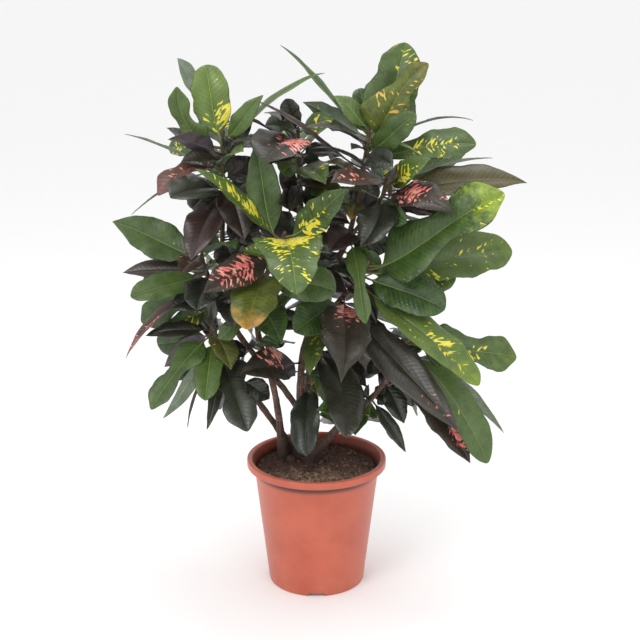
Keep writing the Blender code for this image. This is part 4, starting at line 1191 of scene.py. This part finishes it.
def whorl_leaves():
    """Leaves that climb each shoot in a spiral, as rows like those of EXTRA_LEAVES."""
    rng = random.Random(7)
    for shoot, low, high, count, length, width in WHORLS * 3:
        turn = rng.uniform(0, 360)
        for number in range(count):
            rise = (number + rng.uniform(-0.3, 0.3)) / (count - 1)
            rise = min(max(rise, 0.0), 1.0)
            height = low + (high - low) * rise
            turn += GOLDEN_ANGLE + rng.uniform(-14, 14)
            angle = math.radians(turn)
            slope = math.radians(-38 + 78 * rise ** 1.5 + rng.uniform(-14, 14))
            reach = length * rng.uniform(0.75, 1.15) * (1.0 - 0.35 * rise ** 3)
            out = np.array((math.cos(angle), math.sin(angle), 0.0))
            node = node_on(shoot, height)[0]
            tip = node + reach * (out * math.cos(slope) + np.array((0, 0, math.sin(slope))))
            facing = np.array((0, 0, 1.0)) * max(0.25, math.cos(slope)) - out * math.sin(slope)
            facing = facing + np.array([rng.uniform(-0.25, 0.25) for _ in range(3)])
            form = rng.choice(("oval", "blunt", "oval", "lobed", "blunt", "narrow"))
            wide = width * rng.uniform(0.8, 1.15) * (0.45 if form == "narrow" else 1.0)
            colouring = MIXTURE[rng.randrange(len(MIXTURE))]
            if in_crown(*on_plane(tip)):
                yield shoot, height, tip, wide, rng.uniform(0.004, 0.018), facing, form, colouring


def covered(x, z, shells):
    """Whether a leaf shows at (x, z) on the plane y = 0."""
    way = (Vector((x, 0.0, z)) - CAMERA).normalized()
    return any(shell[0].ray_cast(CAMERA, way)[0] is not None for shell in shells)


def open_places(shells):
    """Places on the plane y = 0 inside the crown where nothing but daylight or wood shows."""
    places = []
    for column in range(-27, 29):
        for row in range(24, 75):
            x = column * GRID
            z = row * GRID
            if not in_crown(x, z):
                continue
            if any(math.hypot(x - gx, z - gz) < r + 0.004 for gx, gz, r in DAYLIGHT):
                continue
            if not covered(x, z, shells):
                places.append((x, z))
    return places


def shade_leaves(shells):
    """Inner leaves that face the open places, from the nearest stretch of wood."""
    rng = random.Random(11)
    places = open_places(shells)
    rng.shuffle(places)
    for x, z in places:
        if covered(x, z, shells):
            continue
        for attempt in range(9):
            shown = np.array(through(x, z, rng.uniform(-0.09, 0.13)))
            roots = []
            for shoot, low, high, *rest in WHORLS:
                for step in range(13):
                    height = low - 0.04 + (high - low + 0.04) * step / 12
                    gap = np.linalg.norm(shown - node_on(shoot, height)[0])
                    if SHADE_REACH[0] < gap < SHADE_REACH[2]:
                        miss = abs(gap - SHADE_REACH[1])
                        roots.append((miss + rng.uniform(0.0, 0.03), shoot, height))
            if not roots:
                continue
            shoot, height = min(roots)[1:]
            node = node_on(shoot, height)[0]
            tip = shown + (shown - node) * rng.uniform(0.15, 0.60)
            if not in_crown(*on_plane(tip)):
                continue
            facing = np.array((rng.uniform(-0.6, 0.6), -0.85, rng.uniform(-0.2, 0.8)))
            form = rng.choice(("oval", "blunt", "oval", "lobed"))
            colouring = rng.choice(SHADE_MIXTURE)
            yield shoot, height, tip, rng.uniform(0.032, 0.052), 0.008, facing, form, colouring
            if covered(x, z, shells):
                break


# ---- leaves
# how much thicker the contact shells are than the leaves: new ones, and placed ones
NEW_SWELL = 0.0014
PLACED_SWELL = 0.0008
LOWEST_POINT = 0.216
MOST_HIDDEN = 3
LEAF_LAYERS = ("leaf_pos", "leaf_place", "leaf_traits", "leaf_zone", "leaf_tip")
# range of spottedness for each colouring
SPOTTEDNESS = {"green": (-0.45, 0.10), "blotched_yellow": (0.0, 0.4), "dark": (-0.8, -0.3),
               "blotched_pink": (-0.2, 0.2), "olive": (-0.4, 0.0)}


def spread(spec, leans, swivels, allowed):
    """The leaf at the first lean and swivel that is allowed, or None."""
    shoot, height, tip, width, arch, facing, form, colouring = spec
    node, stem_dir = node_on(shoot, height)
    for lean in leans:
        for swivel in swivels:
            rings, end = grow_rings(node, stem_dir, tip, width, arch, facing, form, lean, swivel)
            if allowed(rings, end):
                return rings, end
    return None


def traits_of(name, number, colouring):
    rng = random.Random(name)
    blotch = rng.uniform(*SPOTTEDNESS[colouring])
    tone = rng.random() ** 2 * 0.8
    zone = (rng.uniform(-0.8, 0.8), rng.uniform(0.1, 0.9),
            0.0 if colouring == "dark" else rng.uniform(0.0, 0.7))
    glow = 0.6 if colouring == "olive" and rng.random() < 0.5 else 0.0
    region, order = name.removeprefix("leaf_").rsplit("_", 1)
    if region in TRAITS:
        known = TRAITS[region][int(order) - 1]
        blotch, tone, zone, glow = (*known, *PLAIN[len(known) - 2:])
    return number * 0.37 + 0.11, blotch, tone, zone, glow


def leaf_piece(name, slot, surface, material, *nodes):
    verts, faces, layers = surface
    obj = new_piece(name, verts, faces, material)
    for label, values in zip(LEAF_LAYERS, layers):
        add_layer(obj, label, values)
    finish_piece(obj, slot, *nodes)


def place_leaves():
    """Every leaf as (name, rings, tip, colouring, shoot); leaves of the CAD have no shoot."""
    colourings = {entry["node"]: entry["material_slot"].removeprefix("leaf_")
                  for entry in frame["record"]["subparts"]}
    shells = []
    leaves = []
    rays = []

    def put(name, rings, tip, colouring, shoot):
        leaves.append((name, rings, tip, colouring, shoot))
        shells.append(ring_tree(rings, tip, PLACED_SWELL))

    def clear(rings, end):
        return not meets(ring_tree(rings[1:], end, NEW_SWELL), shells)

    def fills_in(rings, end):
        """Clear of the other leaves, inside the crown, and hides nothing that has to show."""
        points = [end] + [ring.mean(axis=0) * 0.3 + ring[k] * 0.7 for ring in rings[2:]
                          for k in (0, 2)]
        if min(point[2] for point in points) < LOWEST_POINT:
            return False
        if not all(in_crown(*on_plane(point)) for point in points):
            return False
        shell = ring_tree(rings[1:], end, NEW_SWELL)
        if meets(shell, shells):
            return False
        hidden = 0
        for way, length, weight in rays:
            if shell[0].ray_cast(CAMERA, way, length)[0] is not None:
                hidden += weight
                if hidden > MOST_HIDDEN:
                    return False
        return True

    def grow(kind, specs, leans, swivels, allowed):
        for number, spec in enumerate(specs):
            grown = spread(spec, leans, swivels, allowed)
            if grown:
                put(kind.format(number), *grown, spec[7], spec[0])

    for name in sorted(frame["nodes"]):
        if name.startswith("leaf_"):
            put(name, *ordered_rings(frame["nodes"][name].data), colourings[name], None)
    seen = [(shoot, height, through(*shown, depth), *rest)
            for shoot, height, shown, depth, *rest in SEEN_LEAVES]
    grow("extra_{:02d}", EXTRA_LEAVES + seen,
         (0.0, 0.01, -0.01, 0.02, -0.02, 0.035, -0.035, 0.05, -0.05, 0.07),
         (0.0, 14.0, -14.0, 28.0, -28.0), clear)
    rays += sight_lines([leaf[1:3] for leaf in leaves if not leaf[0].startswith("leaf_back")])
    grow("whorl_{:03d}", whorl_leaves(), (0.0, 0.012, 0.03, -0.012), (0.0, 22.0, -22.0), fills_in)
    grow("shade_{:03d}", shade_leaves(shells), (0.0, 0.015, -0.015), (0.0, 20.0, -20.0), fills_in)
    return leaves


def build_leaves():
    materials = {colouring: leaf_material("leaf_" + colouring + "_skin", palette)
                 for colouring, palette in PALETTES.items()}
    groups = {}
    tally = {}
    for number, (name, rings, tip, colouring, shoot) in enumerate(place_leaves()):
        surface = leaf_surface(rings, tip, traits_of(name, number, colouring))
        if shoot is None:
            leaf_piece(name.removeprefix("leaf_") + "_leaf", "leaf_" + colouring, surface,
                       materials[colouring], name)
            continue
        tally[shoot, colouring] = tally.get((shoot, colouring), 0) + 1
        bunch = (tally[shoot, colouring] - 1) // LEAVES_IN_A_PIECE
        verts, faces, layers = groups.setdefault((shoot, colouring, bunch),
                                                 ([], [], [[] for _ in LEAF_LAYERS]))
        base = len(verts)
        verts.extend(surface[0])
        faces.extend(tuple(base + k for k in face) for face in surface[1])
        for kept, more in zip(layers, surface[2]):
            kept.extend(more)
    for (shoot, colouring, bunch), surface in groups.items():
        leaf_piece(f"{shoot}_shoot_leaf_{colouring}_{bunch + 1}", "leaf_" + colouring, surface,
                   materials[colouring])


# Known leaves of each region in the order of their numbers: spottedness, tone, (side, place,
# strength) of the main patch, glow of the tip. The last two are those of PLAIN where left out.
PLAIN = ((0.0, 0.0, 0.0), 0.0)
TRAITS = {
    "top_left": [(0.05, 0.8, (0.9, 0.25, 1.1)), (-0.3, 0.45), (-1.0, 0.35), (-0.5, 0.3),
                 (-0.1, 0.95, (0.0, 0.5, 0.6), 0.2), (-1.0, 0.1), (-0.3, 0.4)],
    "top_right": [(-0.05, 0.25, (0.3, 0.75, 0.4)), (0.0, 0.0, (0.1, 0.45, 0.6), 0.1), (-0.1, 0.2),
                  (-0.5, 0.3), (0.1, 0.25, (0.2, 0.6, 0.6)), (-1.0, 0.5), (-1.0, 0.95)],
    "top_middle": [(0.05, 0.0, (-0.6, 0.45, 1.6))],
    "upper_right": [(0.38, 0.4, (0.0, 0.4, 0.5)), (-0.8, 0.85), (0.25, 0.1, (0.0, 0.35, 0.8)),
                    (-1.0, 0.1), (-0.4, 0.45)],
    "right": [(-0.15, 0.1, (0.3, 0.95, 0.9), 0.55), (0.05, 0.4, (0.5, 0.6, 0.5), 0.1), (-0.4, 0.0),
              (0.0, 0.62, (0.0, 0.6, 0.6), 0.2), (-0.35, 0.3, (0.0, 0.88, 0.9)),
              (-0.1, 0.25, (-0.2, 0.45, 0.6), 0.1), (-0.2, 0.35, (0.0, 0.5, 0.4)),
              (-0.4, 0.1, (-0.3, 0.7, 1.5))],
    "front": [(0.34, 0.3, (-0.2, 0.22, 1.1)), (-0.5, 0.05, (0.0, 0.0, 0.0), 0.7),
              (0.4, 0.1, (0.0, 0.5, 0.6)), (0.25, 0.35, (0.2, 0.45, 0.8)),
              (-0.3, 0.15, (0.5, 0.6, 0.3)), (0.1, 0.1, (0.3, 0.35, 1.0)),
              (-0.35, 0.05, (0.0, 0.12, 1.7)), (-1.0, 0.2), (-0.5, 0.0, (0.5, 0.45, 2.0))],
    "left": [(-0.25, 0.2, (0.3, 0.3, 0.5)), (-1.0, 0.6), (-0.5, 0.35), (-0.9, 0.95),
             (0.15, 0.5, (0.0, 0.8, 0.6), 0.5), (-0.35, 0.2, (0.0, 0.75, 0.4)),
             (-0.05, 0.3, (-0.4, 0.2, 0.6)), (-1.0, 0.05)],
}

build_stage()
build_pot()
build_soil()
build_stems()
build_leaves()
